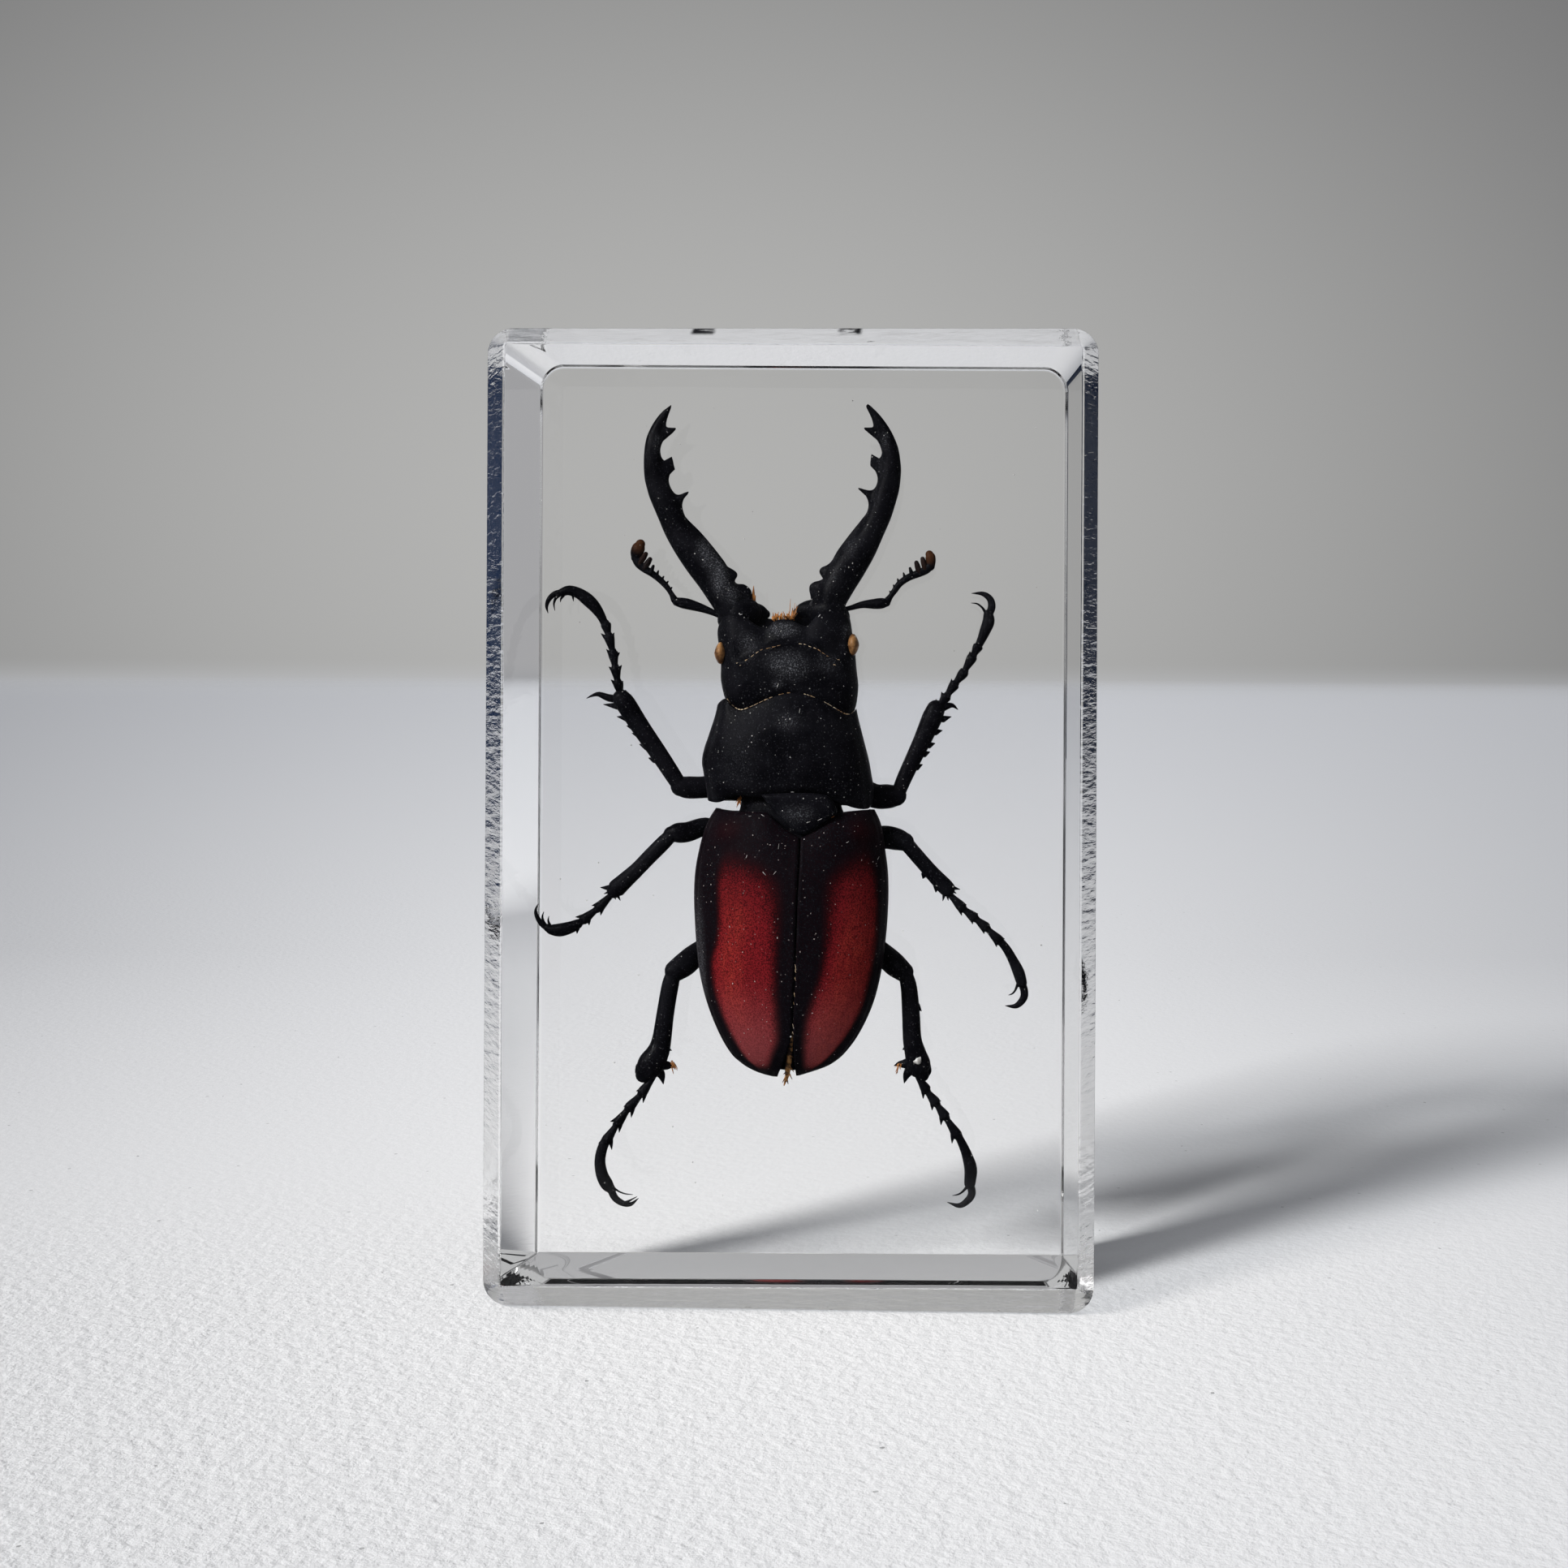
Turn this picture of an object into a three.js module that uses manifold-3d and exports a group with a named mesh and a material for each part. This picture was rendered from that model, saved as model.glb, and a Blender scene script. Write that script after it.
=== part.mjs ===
// A stag beetle cast in a clear upright resin block, in millimetres.
// The block stands on the ground plane with the beetle's back towards -Y and its jaws up.

import * as THREE from 'three';
import { LoftGeometry } from 'three/addons/geometries/LoftGeometry.js';
import { mergeVertices } from 'three/addons/utils/BufferGeometryUtils.js';
import Module from 'manifold-3d';

const wasm = await Module();
wasm.setup();

// Block
const blockWidth = 70.1;
const blockDepth = 27;
const blockHeight = 112.3;
const cornerRadius = 3;
const edgeRadius = 2;
const frontSlope = 4; // how deep the slanted edges round the front face reach
const partingY = 1.5;

// Mould draft: how far each side leans in, and the top leans down, behind the slanted front edges
const sideDraft = 3.3;
const topDraft = 2.5;

// The beetle's sections are measured from a level this far above the base
const beetleRise = 1.4;

// Fits between neighbouring pieces
const gap = 0.3;
const pocketMargin = 0.7;

// Head and shield sections, each z, left, right, top y, bottom y and how far its middle leads its sides
const edgeY = 0.6;
const headSections = [
  [68.0, -7.5, 6.9, -2.7, 3.0, 0.7],
  [69.4, -8.3, 7.5, -3.3, 3.4, 0.6],
  [71.6, -8.5, 7.6, -3.6, 3.6, 0.4],
  [73.8, -8.5, 7.3, -3.4, 3.4, 0],
  [76.0, -8.8, 7.1, -2.9, 3.0, -0.4],
  [77.2, -8.8, 6.9, -2.2, 2.4, -0.5],
  [77.8, -8.2, 6.4, -1.2, 1.8, -0.6],
];
const shieldSections = [
  [56.1, -9.7, 8.7, -3.3, 3.2, 0.3],
  [57.1, -10.1, 9.3, -4.1, 3.8, 0.3],
  [59.0, -10.4, 9.4, -4.7, 4.3, 0],
  [61.2, -10.6, 9.1, -5.0, 4.5, 0],
  [64.2, -9.9, 8.4, -4.8, 4.4, 0.3],
  [66.4, -9.2, 7.8, -4.2, 4.0, 0.5],
  [67.6, -8.6, 7.4, -3.5, 3.5, 0.7],
];

// Chest and belly sections under the wing cases, in the same order
const chestSections = [
  [42.4, -9.6, 9.4, -3.8, 5.0, 0],
  [46.0, -9.9, 9.6, -4.0, 5.2, 0],
  [50.0, -9.5, 9.3, -3.6, 5.2, 0],
  [52.6, -8.6, 8.6, -3.0, 5.0, 0],
  [54.4, -6.6, 6.4, -2.8, 4.4, 0],
  [55.7, -6.0, 5.7, -2.6, 3.8, 0.2],
];
const bellySections = [
  [25.4, -4.0, 2.6, 1.9, 3.2, 0],
  [27.4, -5.7, 5.0, 1.0, 4.2, 0],
  [30.2, -7.4, 7.0, -0.6, 4.9, 0],
  [33.6, -8.7, 8.4, -2.2, 5.2, 0],
  [37.6, -9.4, 9.1, -3.3, 5.3, 0],
  [42.1, -9.6, 9.4, -3.8, 5.0, 0],
];

// Wing-case sections, each z, left edge, right edge, left seam, right seam, top y and seam setback
const caseEdgeY = 1.3;
const caseThickness = 0.7;
const caseSections = [
  [24.5, -3.0, 1.9, -1.5, 0.6, 0.3, 0],
  [25.5, -5.6, 4.7, -1.2, 0.6, -0.9, 0],
  [27.0, -7.2, 6.3, -0.7, 0.5, -2.2, 0],
  [29.3, -8.6, 8.0, 0.1, 0.5, -3.6, 0],
  [32.5, -9.9, 9.5, 0.3, 0.7, -4.7, 0],
  [37.0, -10.9, 10.5, 0.5, 0.9, -5.6, 0],
  [43.0, -11.5, 11.2, 0.7, 1.1, -6.0, 0],
  [48.4, -11.4, 11.2, 0.8, 1.2, -5.7, -0.3],
  [52.0, -10.6, 10.7, 0.9, 1.3, -5.2, -1.2],
  [54.2, -9.9, 10.3, 0.9, 1.3, -4.8, -2.2],
  [55.4, -9.1, 9.5, 0.9, 1.3, -4.2, -2.9],
];
const scutellum = [[-2.7, 55.2], [4.6, 55.0], [1.1, 53.0]];
const scutellumTopY = -4.6;

// Jaw, each height above its root, distance from the jaws' middle line and half width
const jawRootX = -1.7;
const jawRootZ = 79.15;
const jawLean = -0.053;
const jawFlatness = 0.85;
const jawY = 0.4;
const jawSections = [
  [-0.8, 5.2, 2.4],
  [0.8, 5.6, 2.35],
  [3.0, 7.1, 2.05],
  [6.8, 9.75, 1.9],
  [11.3, 12.4, 1.55],
  [13.5, 13.35, 1.4],
  [15.8, 13.8, 1.25],
  [18.0, 14.0, 1.05],
  [20.4, 13.45, 0.9],
  [22.2, 12.5, 0.6],
  [23.6, 11.45, 0.1],
];
// Jaw teeth, each root height, root distance, tip height, tip distance and root radius
const jawTeeth = [
  [20.1, 13.4, 20.9, 10.9, 0.6],
  [16.5, 13.8, 17.7, 11.6, 0.9],
  [16.4, 13.8, 15.8, 11.4, 0.9],
  [12.4, 12.9, 13.6, 9.8, 1.0],
  [3.2, 7.4, 4.4, 4.5, 1.3],
  [0.4, 5.6, 2.0, 2.9, 1.4],
];

// Eyes
const eyeRadii = [0.75, 0.9, 1.25];
const eyes = { eye_left: [-8.4, -0.5, 73.7], eye_right: [7.0, -0.5, 74.7] };

// Antennae: the stalk's points, then the tips of the club's lobes
const antennae = {
  antenna_left: {
    stalk: [[-9.4, 77.6], [-12.2, 79.4], [-13.9, 80.1], [-14.6, 81.5], [-15.9, 82.9], [-17.3, 84.0]],
    lobes: [[-16.3, 83.6], [-16.8, 84.4], [-17.3, 85.2]],
    club: [-18.0, 86.0],
  },
  antenna_right: {
    stalk: [[6.7, 78.9], [9.0, 79.4], [11.0, 79.9], [11.9, 81.4], [12.8, 82.4], [14.6, 83.5]],
    lobes: [[13.7, 83.8], [14.4, 84.6], [15.1, 85.1]],
    club: [15.8, 84.9],
  },
};
const antennaY = 0.6;
const stalkHalfWidths = [0.24, 0.4, 0.5, 0.34, 0.3, 0.3];
const clubRadius = 0.75;

// Legs: x, y, z of the thigh and shin, then x, z of the foot joints, claws and spine tips
const thighHalfWidths = [1.2, 1.65, 1.35];
const shinHalfWidths = [0.95, 1.1, 1.25];
const footY = 2.2;
const clawY = 2.7;
const legs = {
  front_leg_left: {
    thigh: [[-3.5, 4.7, 59.2], [-10.2, 3.4, 57.8], [-13.4, 2.4, 57.5]],
    shin: [[-13.4, 2.3, 57.5], [-17.0, 2.1, 63.2], [-20.2, 2.1, 68.6]],
    foot: [[-20.5, 69.0], [-20.8, 70.8], [-21.0, 72.4], [-21.2, 74.2], [-22.0, 76.1]],
    clawJoint: [[-23.1, 78.2], [-24.3, 80.3], [-26.3, 81.2], [-27.6, 80.8]],
    claws: [[[-28.7, 79.9], [-29.2, 78.6]], [[-28.0, 79.8], [-28.1, 78.6]]],
    spines: [[-16.9, 61.4], [-18.2, 63.0], [-19.1, 64.2], [-19.6, 65.3], [-20.8, 66.3], [-22.4, 67.8]],
    spurs: [[-24.3, 68.4]],
    footSide: -1,
  },
  front_leg_right: {
    thigh: [[2.3, 4.7, 58.9], [9.2, 3.4, 57.3], [12.4, 2.4, 57.2]],
    shin: [[12.4, 2.3, 57.3], [14.6, 2.1, 62.5], [16.9, 2.1, 67.6]],
    foot: [[17.2, 68.0], [18.0, 69.5], [19.1, 70.7], [20.2, 72.0], [21.4, 73.7]],
    clawJoint: [[21.9, 75.0], [22.5, 76.4], [22.9, 77.6], [22.8, 78.7]],
    claws: [[[22.9, 80.3], [20.8, 81.0]], [[22.3, 79.3], [20.8, 79.8]]],
    spines: [[15.1, 60.7], [16.0, 62.2], [16.7, 63.3], [17.5, 64.9], [18.4, 66.4]],
    spurs: [[19.2, 67.2]],
    footSide: -1,
  },
  middle_leg_left: {
    thigh: [[-4.3, 5.1, 51.9], [-10.4, 3.6, 53.1], [-14.6, 2.4, 52.6]],
    shin: [[-14.6, 2.3, 52.5], [-17.8, 2.1, 49.3], [-21.1, 2.1, 45.7]],
    foot: [[-21.3, 45.2], [-22.9, 43.6], [-24.1, 42.6], [-25.3, 41.8], [-26.2, 41.4]],
    clawJoint: [[-27.2, 41.0], [-28.0, 41.0], [-28.8, 41.4]],
    claws: [[[-29.9, 42.6], [-29.9, 44.1]], [[-29.3, 42.1], [-29.2, 43.2]]],
    spines: [[-18.6, 46.8]],
    spurs: [[-22.7, 46.1], [-20.3, 44.6]],
    footSide: -1,
  },
  middle_leg_right: {
    thigh: [[4.3, 5.1, 51.6], [10.7, 3.6, 52.3], [13.2, 2.4, 51.7]],
    shin: [[13.2, 2.3, 51.6], [15.8, 2.1, 48.6], [18.4, 2.1, 45.5]],
    foot: [[18.7, 45.1], [20.1, 43.7], [21.4, 42.6], [22.7, 41.4], [24.4, 40.0]],
    clawJoint: [[25.8, 38.0], [26.8, 36.3], [27.0, 35.0]],
    claws: [[[27.4, 33.4], [25.1, 32.5]], [[26.3, 34.3], [25.4, 33.8]]],
    spines: [[16.9, 45.6]],
    spurs: [[19.7, 46.1], [17.5, 44.5]],
    footSide: 1,
  },
  hind_leg_left: {
    thigh: [[-4.3, 5.2, 41.4], [-11.0, 3.7, 38.2], [-14.0, 2.4, 36.5]],
    shin: [[-14.1, 2.3, 36.4], [-15.2, 2.1, 30.7], [-16.3, 2.1, 24.7]],
    foot: [[-16.6, 23.7], [-17.8, 21.8], [-19.3, 19.9], [-20.7, 17.9], [-22.0, 15.6]],
    clawJoint: [[-22.4, 13.3], [-22.1, 11.6], [-21.5, 10.5]],
    claws: [[[-20.4, 9.0], [-18.0, 9.3]], [[-20.4, 10.4], [-18.6, 10.2]]],
    spines: [],
    spurs: [[-18.2, 24.1], [-13.6, 25.0], [-15.0, 23.0]],
    footSide: -1,
  },
  hind_leg_right: {
    thigh: [[4.3, 5.2, 41.2], [10.7, 3.7, 38.1], [13.5, 2.4, 36.4]],
    shin: [[13.6, 2.3, 36.3], [14.2, 2.1, 30.7], [14.9, 2.1, 24.9]],
    foot: [[14.9, 23.9], [15.9, 22.2], [17.0, 20.6], [18.2, 18.8], [19.8, 16.6]],
    clawJoint: [[20.9, 14.5], [21.2, 12.8], [20.9, 11.0]],
    claws: [[[21.1, 9.4], [18.3, 9.2]], [[20.3, 10.8], [19.0, 10.3]]],
    spines: [],
    spurs: [[16.4, 24.4], [12.0, 25.5], [13.3, 23.4]],
    footSide: 1,
  },
};

const materials = {
  resin: new THREE.MeshStandardMaterial({
    color: 0xe6edf0, roughness: 0.04, metalness: 0, transparent: true, opacity: 0.25,
  }),
  black: new THREE.MeshStandardMaterial({ color: 0x0d0c0d, roughness: 0.35, metalness: 0 }),
  red: new THREE.MeshStandardMaterial({ color: 0x5a1210, roughness: 0.4, metalness: 0 }),
  amber: new THREE.MeshStandardMaterial({ color: 0xa5712c, roughness: 0.25, metalness: 0 }),
  brown: new THREE.MeshStandardMaterial({ color: 0x5b3d20, roughness: 0.5, metalness: 0 }),
  orange: new THREE.MeshStandardMaterial({ color: 0xb96a28, roughness: 0.7, metalness: 0 }),
};

const depthAxis = new THREE.Vector3(0, 1, 0);

function solidOf(geometry) {
  const bare = new THREE.BufferGeometry();
  bare.setAttribute('position', geometry.attributes.position);
  bare.setIndex(geometry.index);
  const merged = mergeVertices(bare, 1e-4);
  const vertProperties = new Float32Array(merged.attributes.position.array);
  const triVerts = new Uint32Array(merged.index.array);
  return new wasm.Manifold(new wasm.Mesh({ numProp: 3, vertProperties, triVerts }));
}

function fuse(geometries) {
  return geometries.map(solidOf).reduce((whole, piece) => whole.add(piece));
}

function meshOf(name, solid, material) {
  const { vertProperties, triVerts } = solid.getMesh();
  const geometry = new THREE.BufferGeometry();
  geometry.setAttribute('position', new THREE.BufferAttribute(vertProperties, 3));
  geometry.setIndex(new THREE.BufferAttribute(triVerts, 1));
  geometry.computeVertexNormals();
  const mesh = new THREE.Mesh(geometry, material);
  mesh.name = name;
  return mesh;
}

function ring(sides, pointAt) {
  return Array.from({ length: sides }, (unused, i) => {
    const angle = (i / sides) * 2 * Math.PI;
    return pointAt(Math.cos(angle), Math.sin(angle));
  });
}

// A closed tapered tube through stations of x, y, z, half width and half depth
function tube(stations, sides, stepsEach) {
  const path = new THREE.CatmullRomCurve3(stations.map(([x, y, z]) => new THREE.Vector3(x, y, z)));
  const sizes = new THREE.CatmullRomCurve3(stations.map((s) => new THREE.Vector3(s[3], s[4] ?? s[3], 0)));
  const steps = (stations.length - 1) * stepsEach;
  const sections = Array.from({ length: steps + 1 }, (unused, i) => {
    const centre = path.getPoint(i / steps);
    const size = sizes.getPoint(i / steps);
    const along = path.getTangent(i / steps);
    const up = depthAxis.clone().addScaledVector(along, -along.dot(depthAxis)).normalize();
    const across = new THREE.Vector3().crossVectors(along, up);
    return ring(sides, (c, s) =>
      centre.clone().addScaledVector(up, size.y * c).addScaledVector(across, size.x * s));
  });
  return new LoftGeometry(sections, { capStart: true, capEnd: true });
}

// A pointed spine from its root to its tip
function spine(root, tip, radius, sides = 4) {
  const direction = tip.clone().sub(root);
  const cone = new THREE.ConeGeometry(radius, direction.length(), sides);
  cone.translate(0, direction.length() / 2, 0);
  cone.applyQuaternion(new THREE.Quaternion().setFromUnitVectors(depthAxis, direction.normalize()));
  return cone.translate(root.x, root.y, root.z);
}

// A rounded body through sections of z, left, right, top, bottom and lead
function body(sections, sides, grow = 0) {
  const last = sections.length - 1;
  const rings = sections.map(([z, left, right, top, bottom, lead], i) => {
    const end = Number(i === last) - Number(i === 0);
    return ring(sides, (c, s) => new THREE.Vector3(
      (left + right) / 2 + ((right - left) / 2 + grow) * c,
      edgeY + s * (s > 0 ? bottom - edgeY + grow : edgeY - top + grow),
      z + lead * s * s + end * grow,
    ));
  });
  return new LoftGeometry(rings, { capStart: true, capEnd: true });
}

// One wing case: a thin curved shell from the seam over to its outer edge
function wingCase(side) {
  const arc = 6;
  const sections = caseSections.map(([z, left, right, seamLeft, seamRight, top, setback]) => {
    const seam = side < 0 ? seamLeft : seamRight;
    const reach = Math.abs((side < 0 ? left : right) - seam);
    const rise = caseEdgeY - top;
    const pointAt = (i, inset) => {
      const angle = (i / arc) * Math.PI / 2;
      return new THREE.Vector3(
        seam + side * (reach - inset) * Math.sin(angle),
        caseEdgeY - Math.max(rise - inset, 0.3) * Math.cos(angle),
        z + setback * (1 - Math.sin(angle)),
      );
    };
    const steps = Array.from({ length: arc + 1 }, (unused, i) => i);
    const outer = steps.map((i) => pointAt(i, 0));
    const inner = steps.map((i) => pointAt(i, caseThickness)).reverse();
    const section = [...outer, ...inner];
    return side < 0 ? section.reverse() : section;
  });
  return solidOf(new LoftGeometry(sections, { capStart: true, capEnd: true }));
}

function jawPoint(side, height, distance) {
  return new THREE.Vector3(jawRootX + jawLean * height + side * distance, jawY, jawRootZ + height);
}

function jawPath(side, widen, deepen) {
  return jawSections.map(([height, distance, half]) => {
    const { x, y, z } = jawPoint(side, height, distance);
    return [x, y, z, half + widen, half * jawFlatness + deepen];
  });
}

function jaw(side) {
  const blade = tube(jawPath(side, 0, 0), 8, 1);
  const teeth = jawTeeth.map(([rootHeight, rootDistance, tipHeight, tipDistance, radius]) =>
    spine(jawPoint(side, rootHeight, rootDistance), jawPoint(side, tipHeight, tipDistance), radius, 5));
  return fuse([blade, ...teeth]);
}

function eye(place, grow = 0) {
  const ball = new THREE.SphereGeometry(1, 8, 5);
  ball.scale(eyeRadii[0] + grow, eyeRadii[1] + grow, eyeRadii[2] + grow);
  return solidOf(ball.translate(...place));
}

function stalkPath({ stalk }, grow) {
  return stalk.map(([x, z], i) => [x, antennaY, z, stalkHalfWidths[i] + grow]);
}

function antenna(parts) {
  const [clubX, clubZ] = parts.club;
  const root = new THREE.Vector3(clubX, antennaY, clubZ - clubRadius);
  const stalkEnd = parts.stalk.at(-1);
  const neck = tube([[stalkEnd[0], antennaY, stalkEnd[1], 0.3], [clubX, antennaY, clubZ, 0.3]], 5, 1);
  const club = new THREE.SphereGeometry(clubRadius, 7, 5);
  club.scale(1, 0.8, 1.1);
  club.translate(clubX, antennaY, clubZ);
  const lobes = parts.lobes.map(([x, z]) => {
    const from = new THREE.Vector3((x + root.x) / 2, antennaY, (z + root.z) / 2 - 0.2);
    return tube([[from.x, from.y, from.z, 0.3], [x, antennaY, z, 0.28]], 5, 1);
  });
  return fuse([tube(stalkPath(parts, 0), 5, 1), neck, club, ...lobes]);
}

function thighPath({ thigh }, grow) {
  return thigh.map(([x, y, z], i) => [x, y, z, thighHalfWidths[i] + grow]);
}

function shinPath({ shin }, grow) {
  return shin.map(([x, y, z], i) => [x, y, z, shinHalfWidths[i] + grow, shinHalfWidths[i] * 0.8 + grow]);
}

// The foot's four short joints, each widening to its far end, and the long claw joint after them
function footPath({ shin, foot, clawJoint }) {
  const [, middle, ankle] = shin;
  const heel = [0, 2].map((axis) => ankle[axis] + 0.1 * (middle[axis] - ankle[axis]));
  const joints = foot.slice(0, -1).flatMap(([x, z], i) => {
    const [nextX, nextZ] = foot[i + 1];
    const far = [x + 0.75 * (nextX - x), footY, z + 0.75 * (nextZ - z), 0.62, 0.55];
    return [[x, footY, z, 0.36, 0.36], far];
  });
  const [endX, endZ] = foot.at(-1);
  const long = clawJoint.map(([x, z], i) => [x, footY, z, i === clawJoint.length - 1 ? 0.5 : 0.6, 0.5]);
  return [[heel[0], footY, heel[1], 0.36, 0.36], ...joints, [endX, footY, endZ, 0.4, 0.4], ...long];
}

// The spines that point forward on one side of the foot's joints
function footSpines({ foot, footSide }) {
  return foot.slice(0, -1).map(([x, z], i) => {
    const start = new THREE.Vector3(x, footY, z);
    const end = new THREE.Vector3(foot[i + 1][0], footY, foot[i + 1][1]);
    const along = end.clone().sub(start).normalize();
    const across = new THREE.Vector3(along.z, 0, -along.x).multiplyScalar(footSide);
    const root = start.lerp(end, 0.6);
    return spine(root, root.clone().addScaledVector(along, 0.8).addScaledVector(across, 0.95), 0.3);
  });
}

function clawPath({ clawJoint }, [[midX, midZ], [tipX, tipZ]]) {
  const [beforeX, beforeZ] = clawJoint.at(-2);
  const [endX, endZ] = clawJoint.at(-1);
  const x = endX + 0.3 * (beforeX - endX);
  const z = endZ + 0.3 * (beforeZ - endZ);
  return [[x, footY, z, 0.34], [midX, clawY, midZ, 0.26], [tipX, clawY, tipZ, 0.07]];
}

function leg(parts) {
  const knee = new THREE.Vector3(...parts.shin[0]);
  const ankle = new THREE.Vector3(...parts.shin.at(-1));
  const shinLine = new THREE.Line3(knee, ankle);
  const spines = parts.spines.map(([x, z]) => {
    const tip = new THREE.Vector3(x, ankle.y, z);
    const share = shinLine.closestPointToPointParameter(tip, true);
    return spine(shinLine.at(Math.max(share - 0.04, 0), new THREE.Vector3()), tip, 0.45);
  });
  const spurs = parts.spurs.map(([x, z]) =>
    spine(shinLine.at(0.93, new THREE.Vector3()), new THREE.Vector3(x, footY, z), 0.8));
  const claws = parts.claws.map((claw) => tube(clawPath(parts, claw), 4, 2));
  return fuse([
    tube(thighPath(parts, 0), 6, 2),
    tube(shinPath(parts, 0), 6, 2),
    tube(footPath(parts), 5, 1),
    ...spines,
    ...spurs,
    ...footSpines(parts),
    ...claws,
  ]);
}

function scutellumPlate() {
  const shape = new THREE.Shape(scutellum.map(([x, z]) => new THREE.Vector2(x, z)));
  const plate = new THREE.ExtrudeGeometry(shape, { depth: 3, bevelEnabled: false });
  plate.rotateX(Math.PI / 2);
  return plate.translate(0, scutellumTopY + 3, 0);
}

function mouthBrush() {
  return solidOf(tube([[-1.2, edgeY, 78.0, 1.4, 0.5], [-1.2, edgeY, 79.9, 0.9, 0.35]], 8, 2));
}

function hindWingTip() {
  const stations = [[0.25, -1.4, 29.6, 0.22, 0.16], [-0.2, -0.2, 26.2, 0.28, 0.16], [-0.7, 0.7, 23.3, 0.16, 0.12]];
  return solidOf(tube(stations, 6, 2));
}

// The hollow that holds the beetle: loose sleeves round the body, jaws, antennae and legs
function pocket() {
  const wholeBody = [
    [23.6, -4.0, 3.2, -0.8, 3.6, 0],
    [27.0, -8.2, 7.4, -3.6, 5.0, 0],
    [37.0, -11.6, 11.2, -6.6, 6.0, 0],
    [50.0, -11.8, 11.6, -6.6, 6.0, 0],
    [61.2, -11.2, 10.0, -5.8, 5.2, 0],
    [76.0, -9.8, 8.2, -3.8, 3.8, 0],
    [80.2, -8.0, 6.2, -2.6, 2.6, 0],
  ];
  const jawSleeves = [-1, 1].map((side) => {
    const path = jawPath(side, 2.4, pocketMargin);
    return tube(lengthened([path[0], path[2], path[4], path[7], path[10]]), 5, 1);
  });
  const antennaSleeves = Object.values(antennae).map((parts) => {
    const [clubX, clubZ] = parts.club;
    return tube(lengthened([...stalkPath(parts, 1.2), [clubX, antennaY, clubZ, 2.2]], 1.6), 5, 1);
  });
  const legSleeves = Object.values(legs).flatMap((parts) => [
    tube(lengthened(thighPath(parts, pocketMargin)), 6, 1),
    tube(lengthened(legSleevePath(parts)), 5, 1),
  ]);
  return fuse([body(wholeBody, 10, pocketMargin), ...jawSleeves, ...antennaSleeves, ...legSleeves]);
}

// Stations with both end ones moved outwards along the line
function lengthened(stations, by = pocketMargin) {
  const moved = stations.map((station) => [...station]);
  for (const [end, inner] of [[0, 1], [-1, -2]]) {
    const from = new THREE.Vector3(...stations.at(inner));
    const to = new THREE.Vector3(...stations.at(end));
    const out = to.clone().sub(from).setLength(by).add(to);
    moved.at(end).splice(0, 3, out.x, out.y, out.z);
  }
  return moved;
}

// From the knee to beyond the claws, wide enough for the spurs and claw tips
function legSleevePath({ shin, spurs, foot, clawJoint, claws }) {
  const reach = ([x, z], tips) => Math.max(...tips.map((tip) => Math.hypot(tip[0] - x, tip[1] - z)));
  const depth = 1.2 + pocketMargin;
  const [knee, middle, ankle] = shin;
  const heel = [ankle[0], ankle[2]];
  const toe = clawJoint.at(-1);
  const [bendX, bendZ] = clawJoint[1];
  const [[midX, midZ]] = claws[0];
  const clawRoom = reach(toe, claws.flat()) + 2 * pocketMargin;
  return [
    [...knee, 2.2, depth],
    [...middle, 2.8, depth],
    [...ankle, reach(heel, spurs) + 2 * pocketMargin, depth],
    [foot[3][0], footY, foot[3][1], 2.4, depth],
    [bendX, footY, bendZ, 2.2, depth],
    [toe[0], footY, toe[1], clawRoom, depth],
    [2 * midX - toe[0], footY, 2 * midZ - toe[1], 1.6, depth],
  ];
}

function roundedBlock() {
  const right = blockWidth / 2 - edgeRadius;
  const low = edgeRadius;
  const high = blockHeight - edgeRadius;
  const radius = cornerRadius - edgeRadius;
  const outline = new THREE.Shape();
  outline.absarc(right - radius, high - radius, radius, 0, Math.PI / 2);
  outline.absarc(-right + radius, high - radius, radius, Math.PI / 2, Math.PI);
  outline.absarc(-right + radius, low + radius, radius, Math.PI, 1.5 * Math.PI);
  outline.absarc(right - radius, low + radius, radius, 1.5 * Math.PI, 2 * Math.PI);
  const block = new THREE.ExtrudeGeometry(outline, {
    depth: blockDepth - 2 * edgeRadius,
    bevelThickness: edgeRadius,
    bevelSize: edgeRadius,
    bevelSegments: 3,
    curveSegments: 3,
  });
  block.rotateX(Math.PI / 2);
  block.translate(0, blockDepth / 2 - edgeRadius, 0);
  const points = block.attributes.position;
  for (let i = 0; i < points.count; i += 1) {
    const behindFace = points.getY(i) + blockDepth / 2;
    if (behindFace < edgeRadius + 0.001) points.setY(i, (behindFace * frontSlope) / edgeRadius - blockDepth / 2);
    const back = Math.max((points.getY(i) + blockDepth / 2 - frontSlope) / (blockDepth - frontSlope), 0);
    points.setX(i, points.getX(i) * (1 - (2 * sideDraft * back) / blockWidth));
    if (points.getZ(i) > blockHeight / 2) points.setZ(i, points.getZ(i) - topDraft * back);
  }
  return solidOf(block);
}

function halfSpace(fromY, toY) {
  const box = new THREE.BoxGeometry(blockWidth + 2, toY - fromY, blockHeight + 2);
  return solidOf(box.translate(0, (fromY + toY) / 2, blockHeight / 2));
}

const beetleInResin = new THREE.Group();

const raised = (solid) => solid.translate([0, 0, beetleRise]);
const addPiece = (name, solid, material) => beetleInResin.add(meshOf(name, raised(solid), material));

const hollowBlock = roundedBlock().subtract(raised(pocket()));
const frontSpace = halfSpace(-blockDepth, partingY);
const backSpace = halfSpace(partingY, blockDepth);
beetleInResin.add(meshOf('resin_front_half', hollowBlock.intersect(frontSpace), materials.resin));
beetleInResin.add(meshOf('resin_back_half', hollowBlock.intersect(backSpace), materials.resin));

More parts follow.
